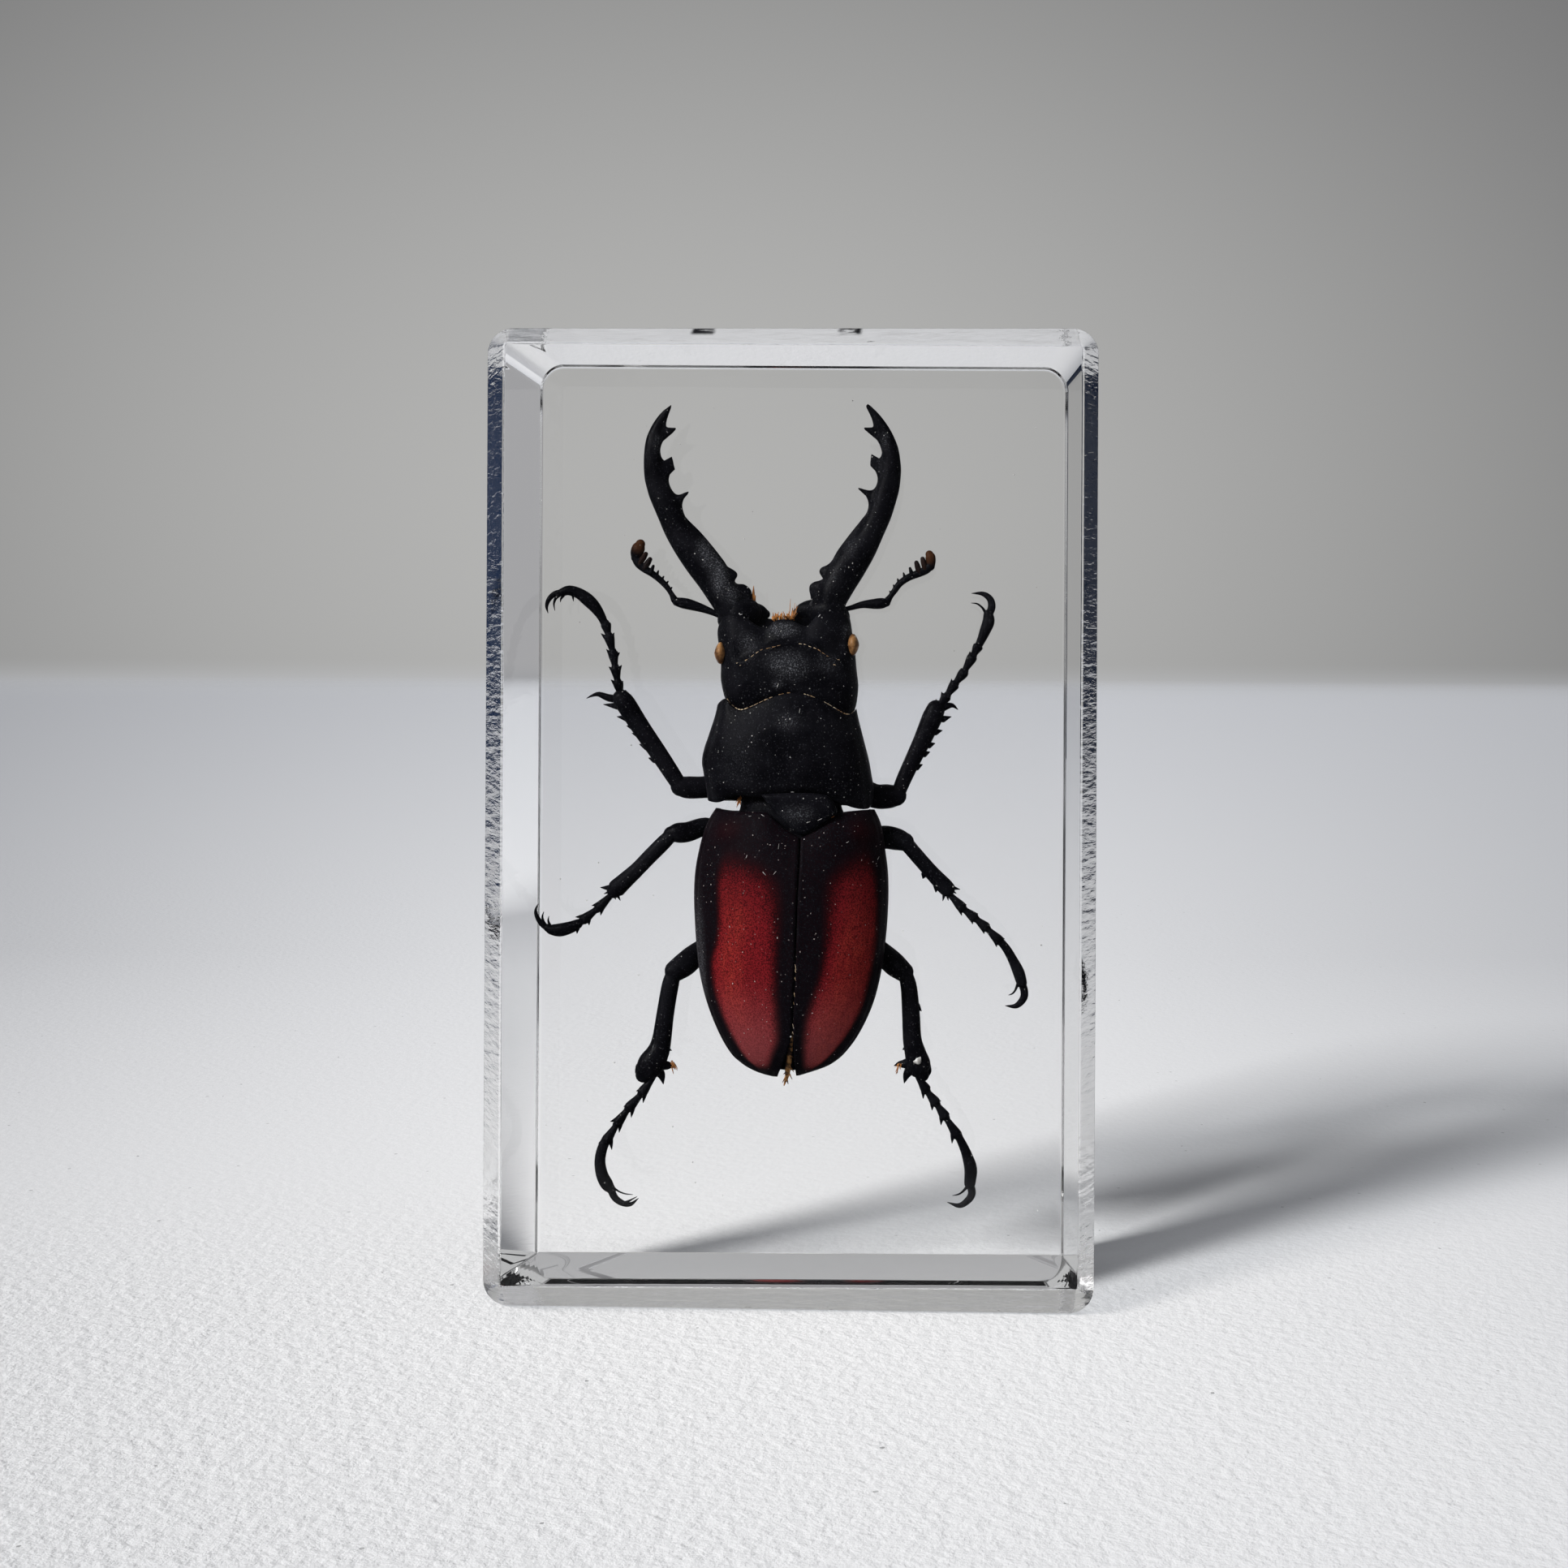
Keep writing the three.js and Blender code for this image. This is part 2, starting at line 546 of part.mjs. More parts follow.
let head = solidOf(body(headSections, 14));
for (const [name, place] of Object.entries(eyes)) {
  head = head.subtract(eye(place, gap));
  addPiece(name, eye(place), materials.amber);
}
for (const [name, parts] of Object.entries(antennae)) {
  head = head.subtract(solidOf(tube(stalkPath(parts, gap), 6, 1)));
  addPiece(name, antenna(parts), materials.black);
}
addPiece('head', head, materials.black);
addPiece('mandible_left', jaw(-1), materials.black);
addPiece('mandible_right', jaw(1), materials.black);
addPiece('mouth_brush', mouthBrush(), materials.orange);

const thighHollows = Object.values(legs).map((parts) => solidOf(tube(thighPath(parts, gap), 6, 2)));
const clearOfThighs = (solid) => thighHollows.reduce((rest, hollow) => rest.subtract(hollow), solid);
const chest = fuse([body(chestSections, 16), scutellumPlate()]);
addPiece('front_thorax', clearOfThighs(solidOf(body(shieldSections, 16))), materials.black);
addPiece('rear_thorax', clearOfThighs(chest), materials.black);
addPiece('abdomen', clearOfThighs(solidOf(body(bellySections, 16))), materials.black);
addPiece('elytron_left', wingCase(-1), materials.red);
addPiece('elytron_right', wingCase(1), materials.red);
addPiece('hind_wing_tip', hindWingTip(), materials.brown);

for (const [name, parts] of Object.entries(legs)) {
  addPiece(name, leg(parts), materials.black);
}

export default beetleInResin;
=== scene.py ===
import bpy, bmesh, math, random
from mathutils import Matrix, Vector
from mathutils.bvhtree import BVHTree


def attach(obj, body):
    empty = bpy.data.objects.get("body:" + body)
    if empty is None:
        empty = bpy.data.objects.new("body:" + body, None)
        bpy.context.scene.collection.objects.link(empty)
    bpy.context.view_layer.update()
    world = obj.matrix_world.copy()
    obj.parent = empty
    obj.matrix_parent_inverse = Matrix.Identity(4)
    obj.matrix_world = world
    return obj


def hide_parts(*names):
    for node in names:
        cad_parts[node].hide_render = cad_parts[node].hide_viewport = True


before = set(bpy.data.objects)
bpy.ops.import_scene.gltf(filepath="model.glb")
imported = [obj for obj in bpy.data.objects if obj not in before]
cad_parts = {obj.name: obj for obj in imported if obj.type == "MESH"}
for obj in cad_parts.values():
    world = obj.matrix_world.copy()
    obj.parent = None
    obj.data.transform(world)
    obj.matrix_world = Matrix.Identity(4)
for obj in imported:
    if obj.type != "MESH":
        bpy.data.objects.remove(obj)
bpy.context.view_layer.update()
scene = bpy.context.scene
mm = 0.001  # pieces are drawn in millimetres and finished in metres
beetleRise = 1.4  # the beetle's heights are measured from this far above the block's base
depthAxis = Vector((0, 1, 0))
backTrees = []  # surfaces that hairs and dust lie on


# camera

cameraSetup = {
    "place": (17.3, -232.2, 73.8),
    "lens": 44.8,
    "shift": (-0.1004, -0.0756),  # the block stands left of and below the eye's line
    "roll": -0.3,
}


def makeCamera():
    data = bpy.data.cameras.new("camera")
    data.lens = cameraSetup["lens"]
    data.shift_x, data.shift_y = cameraSetup["shift"]
    data.clip_start = 0.01
    obj = bpy.data.objects.new("camera", data)
    obj.location = Vector(cameraSetup["place"]) * mm
    obj.rotation_euler = (math.radians(90), math.radians(cameraSetup["roll"]), 0)
    scene.collection.objects.link(obj)
    scene.camera = obj


makeCamera()
print("camera set")


# shaping tools

def smoothStep(low, high, value):
    share = min(max((value - low) / (high - low), 0.0), 1.0)
    return share * share * (3 - 2 * share)


def rowAt(rows, key):
    # values between table rows, whose first column rises, on a smooth curve
    last = len(rows) - 1
    i = 0
    while i < last - 1 and key > rows[i + 1][0]:
        i += 1
    before, start, end, after = rows[max(i - 1, 0)], rows[i], rows[i + 1], rows[min(i + 2, last)]
    span = end[0] - start[0]
    t = min(max((key - start[0]) / span, 0.0), 1.0)
    values = []
    for k in range(1, len(start)):
        leave = (end[k] - before[k]) / (end[0] - before[0]) * span
        arrive = (after[k] - start[k]) / (after[0] - start[0]) * span
        values.append((2 * t ** 3 - 3 * t ** 2 + 1) * start[k] + (t ** 3 - 2 * t ** 2 + t) * leave
                      + (3 * t ** 2 - 2 * t ** 3) * end[k] + (t ** 3 - t ** 2) * arrive)
    return values


def startMesh(*marks):
    bm = bmesh.new()
    bm.verts.layers.int.new("order")
    for mark in marks:
        bm.verts.layers.float.new(mark)
    return bm


def loft(bm, sides, rings, place):
    # a closed skin: one circle extruded ring by ring, each point set by its ring and side
    order = bm.verts.layers.int["order"]
    start = bmesh.ops.create_circle(bm, cap_ends=True, segments=sides, radius=1.0)["verts"]
    for number, vert in enumerate(start):
        vert[order] = number
        vert.co = place(0, number)
    edges = list(dict.fromkeys(edge for vert in start for edge in vert.link_edges))
    made = list(start)
    for ring in range(1, rings):
        grown = bmesh.ops.extrude_edge_only(bm, edges=edges)["geom"]
        fresh = dict.fromkeys(item for item in grown if isinstance(item, bmesh.types.BMVert))
        edges = [item for item in grown if isinstance(item, bmesh.types.BMEdge)
                 and all(vert in fresh for vert in item.verts)]
        for vert in fresh:
            vert.co = place(ring, vert[order])
        made.extend(fresh)
    bmesh.ops.contextual_create(bm, geom=edges)
    return made


def limb(bm, stations, sides=12, stepsEach=4, flat=0.85, domes=(True, True)):
    # an oval rod through stations of x, y, z and half width, with rounded ends
    rows = [(i, *station) for i, station in enumerate(stations)]
    last = len(rows) - 1
    nearby, thinnest = 0.02, 0.02
    turns = [math.radians(angle) for angle in (22, 45, 66, 84)]  # rings of a rounded end
    frames = []
    for n in range(last * stepsEach + 1):
        share = n / stepsEach
        x, y, z, half = rowAt(rows, share)
        ends = [Vector(rowAt(rows, key)[:3]) for key in (max(share - nearby, 0), min(share + nearby, last))]
        frames.append((Vector((x, y, z)), (ends[1] - ends[0]).normalized(), max(half, thinnest)))

    def dome(end, sign):
        centre, ahead, half = end
        return [(centre + ahead * sign * half * math.sin(turn), ahead, half * math.cos(turn)) for turn in turns]

    tail = dome(frames[-1], 1) if domes[1] else []
    nose = dome(frames[0], -1)[::-1] if domes[0] else []
    frames = nose + frames + tail

    def place(ring, side):
        centre, ahead, half = frames[ring]
        up = (depthAxis - ahead * ahead.dot(depthAxis)).normalized()
        across = ahead.cross(up)
        angle = 2 * math.pi * side / sides
        return centre + across * half * math.cos(angle) + up * half * flat * math.sin(angle)

    return loft(bm, sides, len(frames), place)


def atDepth(stations, depth):
    return [(x, depth, z, half) for x, z, half in stations]


def thorn(bm, stations, depth, sides=8):
    return limb(bm, atDepth(stations, depth), sides, stepsEach=3, flat=0.8, domes=(True, False))


def mound(value, centre, reach):
    return math.exp(-((value - centre) / reach) ** 2)


def window(value, fadeIn, fadeOut):
    # 1 between two soft ends, each given as a low and a high
    return smoothStep(*fadeIn, value) * (1 - smoothStep(*fadeOut, value))


def bentRow(value, power):
    return math.copysign(abs(value) ** power, value)


def bodyShell(bm, shape, relief=None, sides=72, steps=40):
    # a plump body between a rear and a front margin, with rolled lips at both
    lips = [(0.22, 0.86), (0.55, 0.95), (0.82, 0.985)]
    rings = [(0.0, *lip) for lip in lips] + [(i / steps, 1.0, 1.0) for i in range(steps + 1)]
    rings += [(1.0, *lip) for lip in reversed(lips)]
    level, square = shape["edgeY"], shape["square"]

    def place(ring, side):
        along, thick, wide = rings[ring]
        left, right, top, bottom = rowAt(shape["outline"], along)
        angle = 2 * math.pi * side / sides
        c, s = bentRow(math.cos(angle), square), bentRow(math.sin(angle), square)
        x = (left + right) / 2 + (right - left) / 2 * wide * c
        y = level + s * thick * ((bottom - level) if s > 0 else (level - top))
        rear, front = rowAt(shape["rear"], x)[0], rowAt(shape["front"], x)[0]
        z = rear + (front - rear) * along
        if relief:
            y += relief(x, z, c, s) * thick
        return Vector((x, y, z))

    return loft(bm, sides, len(rings), place)


def finishPiece(name, bm, material, nodes=(), carriesDust=False, rise=beetleRise):
    bmesh.ops.remove_doubles(bm, verts=bm.verts, dist=0.0005)
    bmesh.ops.recalc_face_normals(bm, faces=bm.faces)
    if carriesDust:
        backTrees.append(BVHTree.FromBMesh(bm))
    order = bm.verts.layers.int.get("order")
    if order:
        bm.verts.layers.int.remove(order)
    bmesh.ops.translate(bm, vec=(0, 0, rise), verts=bm.verts)
    bmesh.ops.scale(bm, vec=(mm, mm, mm), verts=bm.verts)
    for face in bm.faces:
        face.smooth = True
    mesh = bpy.data.meshes.new(name)
    bm.to_mesh(mesh)
    bm.free()
    mesh.materials.append(material)
    obj = bpy.data.objects.new(name, mesh)
    scene.collection.objects.link(obj)
    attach(obj, "root")
    if nodes:
        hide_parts(*nodes)
    return obj


def backAt(x, z, lift=0.0):
    # the point of the beetle's back at x and z
    hits = [tree.ray_cast(Vector((x, -20, z)), depthAxis)[0] for tree in backTrees]
    depths = [hit.y for hit in hits if hit]
    return Vector((x, (min(depths) if depths else 0.0) - lift, z))


# finishes

def newMaterial(name):
    material = bpy.data.materials.new(name)
    material.use_nodes = True
    material.node_tree.nodes.clear()
    return material, material.node_tree


def setSocket(tree, socket, value):
    # a link from another node, or a plain value
    if isinstance(value, bpy.types.NodeSocket):
        tree.links.new(value, socket)
    else:
        socket.default_value = value


def addNode(tree, kind, settings=None, **sockets):
    node = tree.nodes.new("ShaderNode" + kind)
    for key, value in (settings or {}).items():
        setattr(node, key, value)
    for key, value in sockets.items():
        setSocket(tree, node.inputs[key], value)
    return node


def feed(tree, node, *values):
    for socket, value in zip(node.inputs, values):
        setSocket(tree, socket, value)
    return node.outputs[0]


def joinMath(tree, operation, first, *others):
    for other in others:
        first = feed(tree, addNode(tree, "Math", {"operation": operation}), first, other)
    return first


def joinVectors(tree, operation, *values):
    node = addNode(tree, "VectorMath", {"operation": operation})
    feed(tree, node, *values)
    return node.outputs["Value" if operation == "LENGTH" else "Vector"]


def spread(tree, value, low, high, toLow=0.0, toHigh=1.0):
    ends = {"From Min": low, "From Max": high, "To Min": toLow, "To Max": toHigh}
    return addNode(tree, "MapRange", {"interpolation_type": "SMOOTHSTEP"}, Value=value, **ends).outputs[0]


def mixColor(tree, share, first, second):
    node = addNode(tree, "Mix", {"data_type": "RGBA"}, Factor=share)
    setSocket(tree, node.inputs[6], first)
    setSocket(tree, node.inputs[7], second)
    return node.outputs[2]


def mixShaders(tree, share, first, second):
    return feed(tree, addNode(tree, "MixShader"), share, first, second)


def noiseAt(tree, place, scale, detail):
    return addNode(tree, "TexNoise", Vector=place, Scale=scale, Detail=detail).outputs["Fac"]


def splitAxes(tree, vector):
    return addNode(tree, "SeparateXYZ", Vector=vector).outputs


def newGroup(name, outputs, **inputs):
    group = bpy.data.node_groups.new(name, "ShaderNodeTree")
    for label, value in inputs.items():
        kind = "NodeSocketVector" if isinstance(value, tuple) else "NodeSocketFloat"
        group.interface.new_socket(label, in_out="INPUT", socket_type=kind).default_value = value
    for label in outputs:
        group.interface.new_socket(label, in_out="OUTPUT", socket_type="NodeSocketFloat")
    return group, group.nodes.new("NodeGroupInput").outputs, group.nodes.new("NodeGroupOutput").inputs


def placeGroup(tree, group, **sockets):
    return addNode(tree, "Group", {"node_tree": group}, **sockets).outputs


grain = {
    "fineScale": 1.7,
    "slowScale": 0.09,
    "bowl": (0.05, 0.45),
    "fineShare": 0.7,
    "bend": (0.0003, 0.0003, 0.0003),  # how far specks are pulled out of round
    "bendScale": 2500.0,
    "glintPower": 2.5,
    "sheenScale": 6500.0,
    "sheenFall": (0.1, 1.0, 1.0, 0.0),
    "sheenPoints": (0.50, 0.74, 0.08, 1.0),
}


def makeGrainGroup():
    # the shell's fine pits and its slow change of tone
    group, given, result = newGroup("shellGrain", ("Height", "Tone"), Vector=(0, 0, 0), Scale=4000.0)
    place, scale = given["Vector"], given["Scale"]
    pits = addNode(group, "TexVoronoi", Vector=place, Scale=scale).outputs["Distance"]
    fine = noiseAt(group, place, joinMath(group, "MULTIPLY", scale, grain["fineScale"]), 3.0)
    slow = noiseAt(group, place, joinMath(group, "MULTIPLY", scale, grain["slowScale"]), 2.0)
    rough = joinMath(group, "MULTIPLY", fine, grain["fineShare"])
    setSocket(group, result["Height"], joinMath(group, "ADD", spread(group, pits, *grain["bowl"]), rough))
    setSocket(group, result["Tone"], slow)
    return group


def makeFleckGroup():
    # scattered specks of pale dust
    group, given, result = newGroup("paleFlecks", ("Mask",), Vector=(0, 0, 0), Scale=2300.0, Size=0.15, Share=0.3)
    place = given["Vector"]
    pull = addNode(group, "TexNoise", Vector=place, Scale=grain["bendScale"], Detail=1.0).outputs["Color"]
    bent = joinVectors(group, "MULTIPLY_ADD", pull, grain["bend"], place)
    dots = addNode(group, "TexVoronoi", Vector=bent, Scale=given["Scale"]).outputs
    near = joinMath(group, "LESS_THAN", dots["Distance"], given["Size"])
    chance = addNode(group, "SeparateColor", Color=dots["Color"]).outputs
    kept = joinMath(group, "LESS_THAN", chance[0], given["Share"])
    glint = joinMath(group, "POWER", chance[1], grain["glintPower"])
    setSocket(group, result["Mask"], joinMath(group, "MULTIPLY", near, kept, glint))
    return group


def makeSheenGroup():
    # a grainy grey painted sheen, standing for the light reflected where the resin has drawn off the shell
    group, given, result = newGroup("paintedSheen", ("Mask",), Vector=(0, 0, 0), Centre=(0, 0, 0),
                                    Reach=(0.003, 0.003, 0.003), Strength=1.0)
    place = given["Vector"]
    away = joinVectors(group, "DIVIDE", joinVectors(group, "SUBTRACT", place, given["Centre"]), given["Reach"])
    fall = spread(group, joinVectors(group, "LENGTH", away), *grain["sheenFall"])
    points = spread(group, noiseAt(group, place, grain["sheenScale"], 2.0), *grain["sheenPoints"])
    setSocket(group, result["Mask"], joinMath(group, "MULTIPLY", fall, points, given["Strength"]))
    return group


grainGroup = makeGrainGroup()
fleckGroup = makeFleckGroup()
sheenGroup = makeSheenGroup()


def paintedSheenAt(tree, place, centre, reach, strength):
    middle = (Vector(centre) + Vector((0, 0, beetleRise))) * mm
    return placeGroup(tree, sheenGroup, Vector=place, Centre=middle, Reach=Vector(reach) * mm,
                      Strength=strength)["Mask"]


def startFinish(name, specular, grainScale, bumpStrength, bumpDepth):
    # a dry surface with the grain's bump; its colour and roughness are set afterwards
    material, tree = newMaterial(name)
    place = addNode(tree, "TexCoord").outputs["Object"]
    pits = placeGroup(tree, grainGroup, Vector=place, Scale=grainScale)
    bump = addNode(tree, "Bump", Strength=bumpStrength, Distance=bumpDepth, Height=pits["Height"])
    shade = addNode(tree, "BsdfPrincipled", Normal=bump.outputs[0], **{"Specular IOR Level": specular})
    addNode(tree, "OutputMaterial", Surface=shade.outputs[0])
    return material, tree, place, pits, shade.inputs


shellLook = {
    "black": (0.0014, 0.0014, 0.0022, 1.0),
    "worn": (0.0042, 0.0042, 0.0056, 1.0),
    "wornTones": (0.35, 0.7),
    "speck": (0.030, 0.030, 0.035, 1.0),
    "speckScale": 5200.0,
    "speckTones": (0.60, 0.72, 0.0, 0.8),
    "dust": (0.42, 0.41, 0.39, 1.0),
    "paintedSheenGrey": (0.150, 0.152, 0.166, 1.0),
    "bulbBrown": (0.045, 0.018, 0.008, 1.0),
    "specular": 0.022,
    "grainScale": 3600.0,
    "bump": 0.35,
    "bumpDepth": 0.00005,
    "roughTones": (0.3, 0.75, 0.34, 0.55),
}


def makeShell(name, sheenPatches=(), fleckShare=0.3, brownMark=None):
    look = shellLook
    material, tree, place, pits, shade = startFinish(name, look["specular"], look["grainScale"], look["bump"],
                                                     look["bumpDepth"])
    color = mixColor(tree, spread(tree, pits["Tone"], *look["wornTones"]), look["black"], look["worn"])
    points = noiseAt(tree, place, look["speckScale"], 2.0)
    color = mixColor(tree, spread(tree, points, *look["speckTones"]), color, look["speck"])
    if brownMark:
        mark = addNode(tree, "Attribute", {"attribute_name": brownMark})
        color = mixColor(tree, mark.outputs["Fac"], color, look["bulbBrown"])
    # painted sheen: grey patches lighten the shell where it would catch the light
    for patch in sheenPatches:
        color = mixColor(tree, paintedSheenAt(tree, place, *patch), color, look["paintedSheenGrey"])
    flecks = placeGroup(tree, fleckGroup, Vector=place, Share=fleckShare)
    setSocket(tree, shade["Base Color"], mixColor(tree, flecks["Mask"], color, look["dust"]))
    setSocket(tree, shade["Roughness"], spread(tree, pits["Tone"], *look["roughTones"]))
    return material


wingCaseLook = {
    "black": (0.0024, 0.0023, 0.0034, 1.0),
    "maroon": (0.026, 0.0026, 0.0034, 1.0),
    "red": (0.170, 0.0090, 0.0122, 1.0),
    "paintedHighlight": (0.29, 0.028, 0.021, 1.0),
    "lowerPaintedLight": (0.31, 0.092, 0.094, 1.0),
    "pit": (0.0056, 0.0016, 0.0024, 1.0),
    "dust": (0.45, 0.40, 0.38, 1.0),
    "grey": (0.026, 0.026, 0.031, 1.0),
    "rimSheen": ((-10.6, -0.5, 37.0), (1.3, 3.5, 13.0), 0.85),
    "specular": 0.012,
    "grainScale": 5600.0,
    "bump": 0.3,
    "bumpDepth": 0.00005,
    "fleckShare": 0.4,
    "streakStretch": (1.0, 1.0, 0.16),
    "streakScale": 2200.0,
    "streakTones": (0.3, 0.75, 0.35, 1.0),
    "mottleScale": 700.0,
    "mottleShare": 0.5,
    "fineScale": 6400.0,
    "wanderMiddle": 0.75,
    "wanderMost": 0.6,
    "deepEdge": (0.02, 0.42),
    "redEdge": (0.25, 0.95),
    "lowerPaintedLightHeights": (0.027, 0.039, 0.45, 0.0),
    "upperHeights": (0.041, 0.052, 0.0, 0.5),
    "pitTones": (0.3, 0.95, 0.5, 0.0),
    "dotTones": (0.38, 0.60, 0.72, 0.0),
    "calmHeights": (0.027, 0.042, 0.45, 1.0),
    "bareEdge": (0.0, 0.25, 0.5, 0.0),
    "scuffTones": (0.58, 0.72),
    "roughTones": (0.3, 0.7, 0.45, 0.6),
}


def makeWingCaseShell():
    look = wingCaseLook
    material, tree, place, pits, shade = startFinish("redWingCase", look["specular"], look["grainScale"],
                                                     look["bump"], look["bumpDepth"])
    patch, paintedHighlight = (addNode(tree, "Attribute", {"attribute_name": mark}).outputs["Fac"]
                   for mark in ("redPatch", "redPaintedHighlight"))
    height = splitAxes(tree, place)[2]
    stretched = addNode(tree, "Mapping", Vector=place, Scale=look["streakStretch"]).outputs[0]
    streaks = noiseAt(tree, stretched, look["streakScale"], 3.0)
    mottle = noiseAt(tree, place, look["mottleScale"], 4.0)
    fine = noiseAt(tree, place, look["fineScale"], 2.0)
    rough = joinMath(tree, "ADD", joinMath(tree, "MULTIPLY", mottle, look["mottleShare"]), fine)
    wander = joinMath(tree, "SUBTRACT", rough, look["wanderMiddle"])
    room = joinMath(tree, "MINIMUM", patch, look["wanderMost"])
    edge = joinMath(tree, "ADD", patch, joinMath(tree, "MULTIPLY", wander, room))
    dots = joinMath(tree, "MAXIMUM", spread(tree, pits["Height"], *look["pitTones"]),
                    spread(tree, fine, *look["dotTones"]))
    flecks = placeGroup(tree, fleckGroup, Vector=place, Share=look["fleckShare"])
    layers = [
        (spread(tree, edge, *look["deepEdge"]), look["maroon"]),
        (spread(tree, edge, *look["redEdge"]), look["red"]),
        # a painted highlight: a brighter orange band in the red patch, along its streaks
        (joinMath(tree, "MULTIPLY", paintedHighlight, spread(tree, streaks, *look["streakTones"])), look["paintedHighlight"]),
        # paler pink low on the patch, brightened as painted light where the downward curve is in shade
        (joinMath(tree, "MULTIPLY", spread(tree, height, *look["lowerPaintedLightHeights"]), patch), look["lowerPaintedLight"]),
        (joinMath(tree, "MULTIPLY", spread(tree, height, *look["upperHeights"]), patch), look["maroon"]),
        (joinMath(tree, "MULTIPLY", dots, spread(tree, height, *look["calmHeights"])), look["pit"]),
        # a painted grey sheen along the left case's outer rim
        (paintedSheenAt(tree, place, *look["rimSheen"]), shellLook["paintedSheenGrey"]),
        (joinMath(tree, "MULTIPLY", spread(tree, fine, *look["scuffTones"]),
                  spread(tree, patch, *look["bareEdge"])), look["grey"]),
        (flecks["Mask"], look["dust"]),
    ]
    color = look["black"]
    for share, tone in layers:
        color = mixColor(tree, share, color, tone)
    setSocket(tree, shade["Base Color"], color)
    setSocket(tree, shade["Roughness"], spread(tree, streaks, *look["roughTones"]))
    return material


plainLook = {  # dark and light tone, blotch scale, roughness, bump scale, specular, blotch tones
    "amberEye": ((0.065, 0.026, 0.010, 1.0), (0.30, 0.15, 0.055, 1.0), 1100.0, 0.35, 9000.0, 0.1, (0.35, 0.68)),
    "brownWing": ((0.03, 0.011, 0.004, 1.0), (0.45, 0.22, 0.07, 1.0), 1900.0, 0.5, 5000.0, 0.2, (0.38, 0.64)),
    "orangeHair": ((0.10, 0.032, 0.008, 1.0), (0.46, 0.18, 0.04, 1.0), 900.0, 0.55, 6000.0, 0.3, (0.35, 0.68)),
    "goldHair": ((0.30, 0.17, 0.07, 1.0), (0.80, 0.66, 0.46, 1.0), 700.0, 0.45, 6000.0, 0.3, (0.35, 0.68)),
    "dustWhite": ((0.28, 0.27, 0.25, 1.0), (0.85, 0.84, 0.82, 1.0), 900.0, 0.7, 5000.0, 0.3, (0.35, 0.68)),
}


def makePlain(name):
    dark, light, scale, roughness, bumpScale, specular, tones = plainLook[name]
    material, tree, place, pits, shade = startFinish(name, specular, bumpScale, 0.3, 0.00004)
    blotches = spread(tree, noiseAt(tree, place, scale, 3.0), *tones)
    setSocket(tree, shade["Base Color"], mixColor(tree, blotches, dark, light))
    setSocket(tree, shade["Roughness"], roughness)
    return material


# where the head, jaws and shield get a painted grey sheen: centre, reach and strength
headSheenPatches = [((-0.4, -3.6, 72.3), (3.4, 3.0, 2.4), 1.0), ((-0.9, -2.8, 76.4), (2.6, 3.0, 1.2), 1.0),
               ((-5.2, -3.0, 75.0), (1.8, 3.0, 1.7), 0.55), ((-1.6, -3.4, 70.2), (1.0, 3.0, 0.9), 0.6),
               ((4.2, -3.2, 72.6), (2.2, 3.0, 1.6), 0.35), ((6.4, -1.6, 76.4), (0.9, 2.5, 1.4), 0.7),
               ((-0.7, -2.8, 76.6), (2.4, 3.0, 1.1), 0.8)]
jawSheenPatches = [((-8.6, -1.0, 83.3), (1.5, 2.5, 3.2), 1.0), ((-10.4, -1.0, 86.0), (1.3, 2.5, 2.6), 0.8),
              ((-7.0, -1.0, 80.6), (1.2, 2.5, 1.8), 0.9), ((4.6, -1.0, 83.2), (1.5, 2.5, 3.0), 0.15),
              ((6.6, -1.0, 86.2), (1.2, 2.5, 2.4), 0.2), ((-16.0, -0.8, 98.3), (0.9, 2.0, 1.9), 0.6),
              ((10.6, -0.8, 98.6), (0.8, 2.0, 1.7), 0.5), ((-8.4, -1.0, 82.6), (1.4, 2.5, 3.4), 0.8),
              ((-9.7, -1.0, 84.9), (1.2, 2.5, 2.6), 0.8)]
shieldSheenPatches = [((-0.4, -4.8, 65.8), (2.2, 3.0, 1.6), 0.35), ((-6.0, -4.0, 60.5), (3.0, 3.0, 3.5), 0.14),
                 ((0.9, -4.6, 55.2), (2.6, 2.0, 1.5), 0.55), ((-5.6, -3.6, 55.6), (1.6, 2.0, 0.9), 0.4),
                 ((6.2, -3.4, 55.2), (1.6, 2.0, 0.9), 0.35)]
blackShell = makeShell("blackShell")
headShell = makeShell("headShell", headSheenPatches, 0.4)
jawShell = makeShell("jawShell", jawSheenPatches, 0.34)
shieldShell = makeShell("shieldShell", shieldSheenPatches, 0.42)
feelerShell = makeShell("feelerShell", (), 0.1, "brownTip")
redWingCase = makeWingCaseShell()
amberEye, brownWing, orangeHair, goldHair, dustWhite = (makePlain(name) for name in plainLook)
print("finishes made")


# resin block

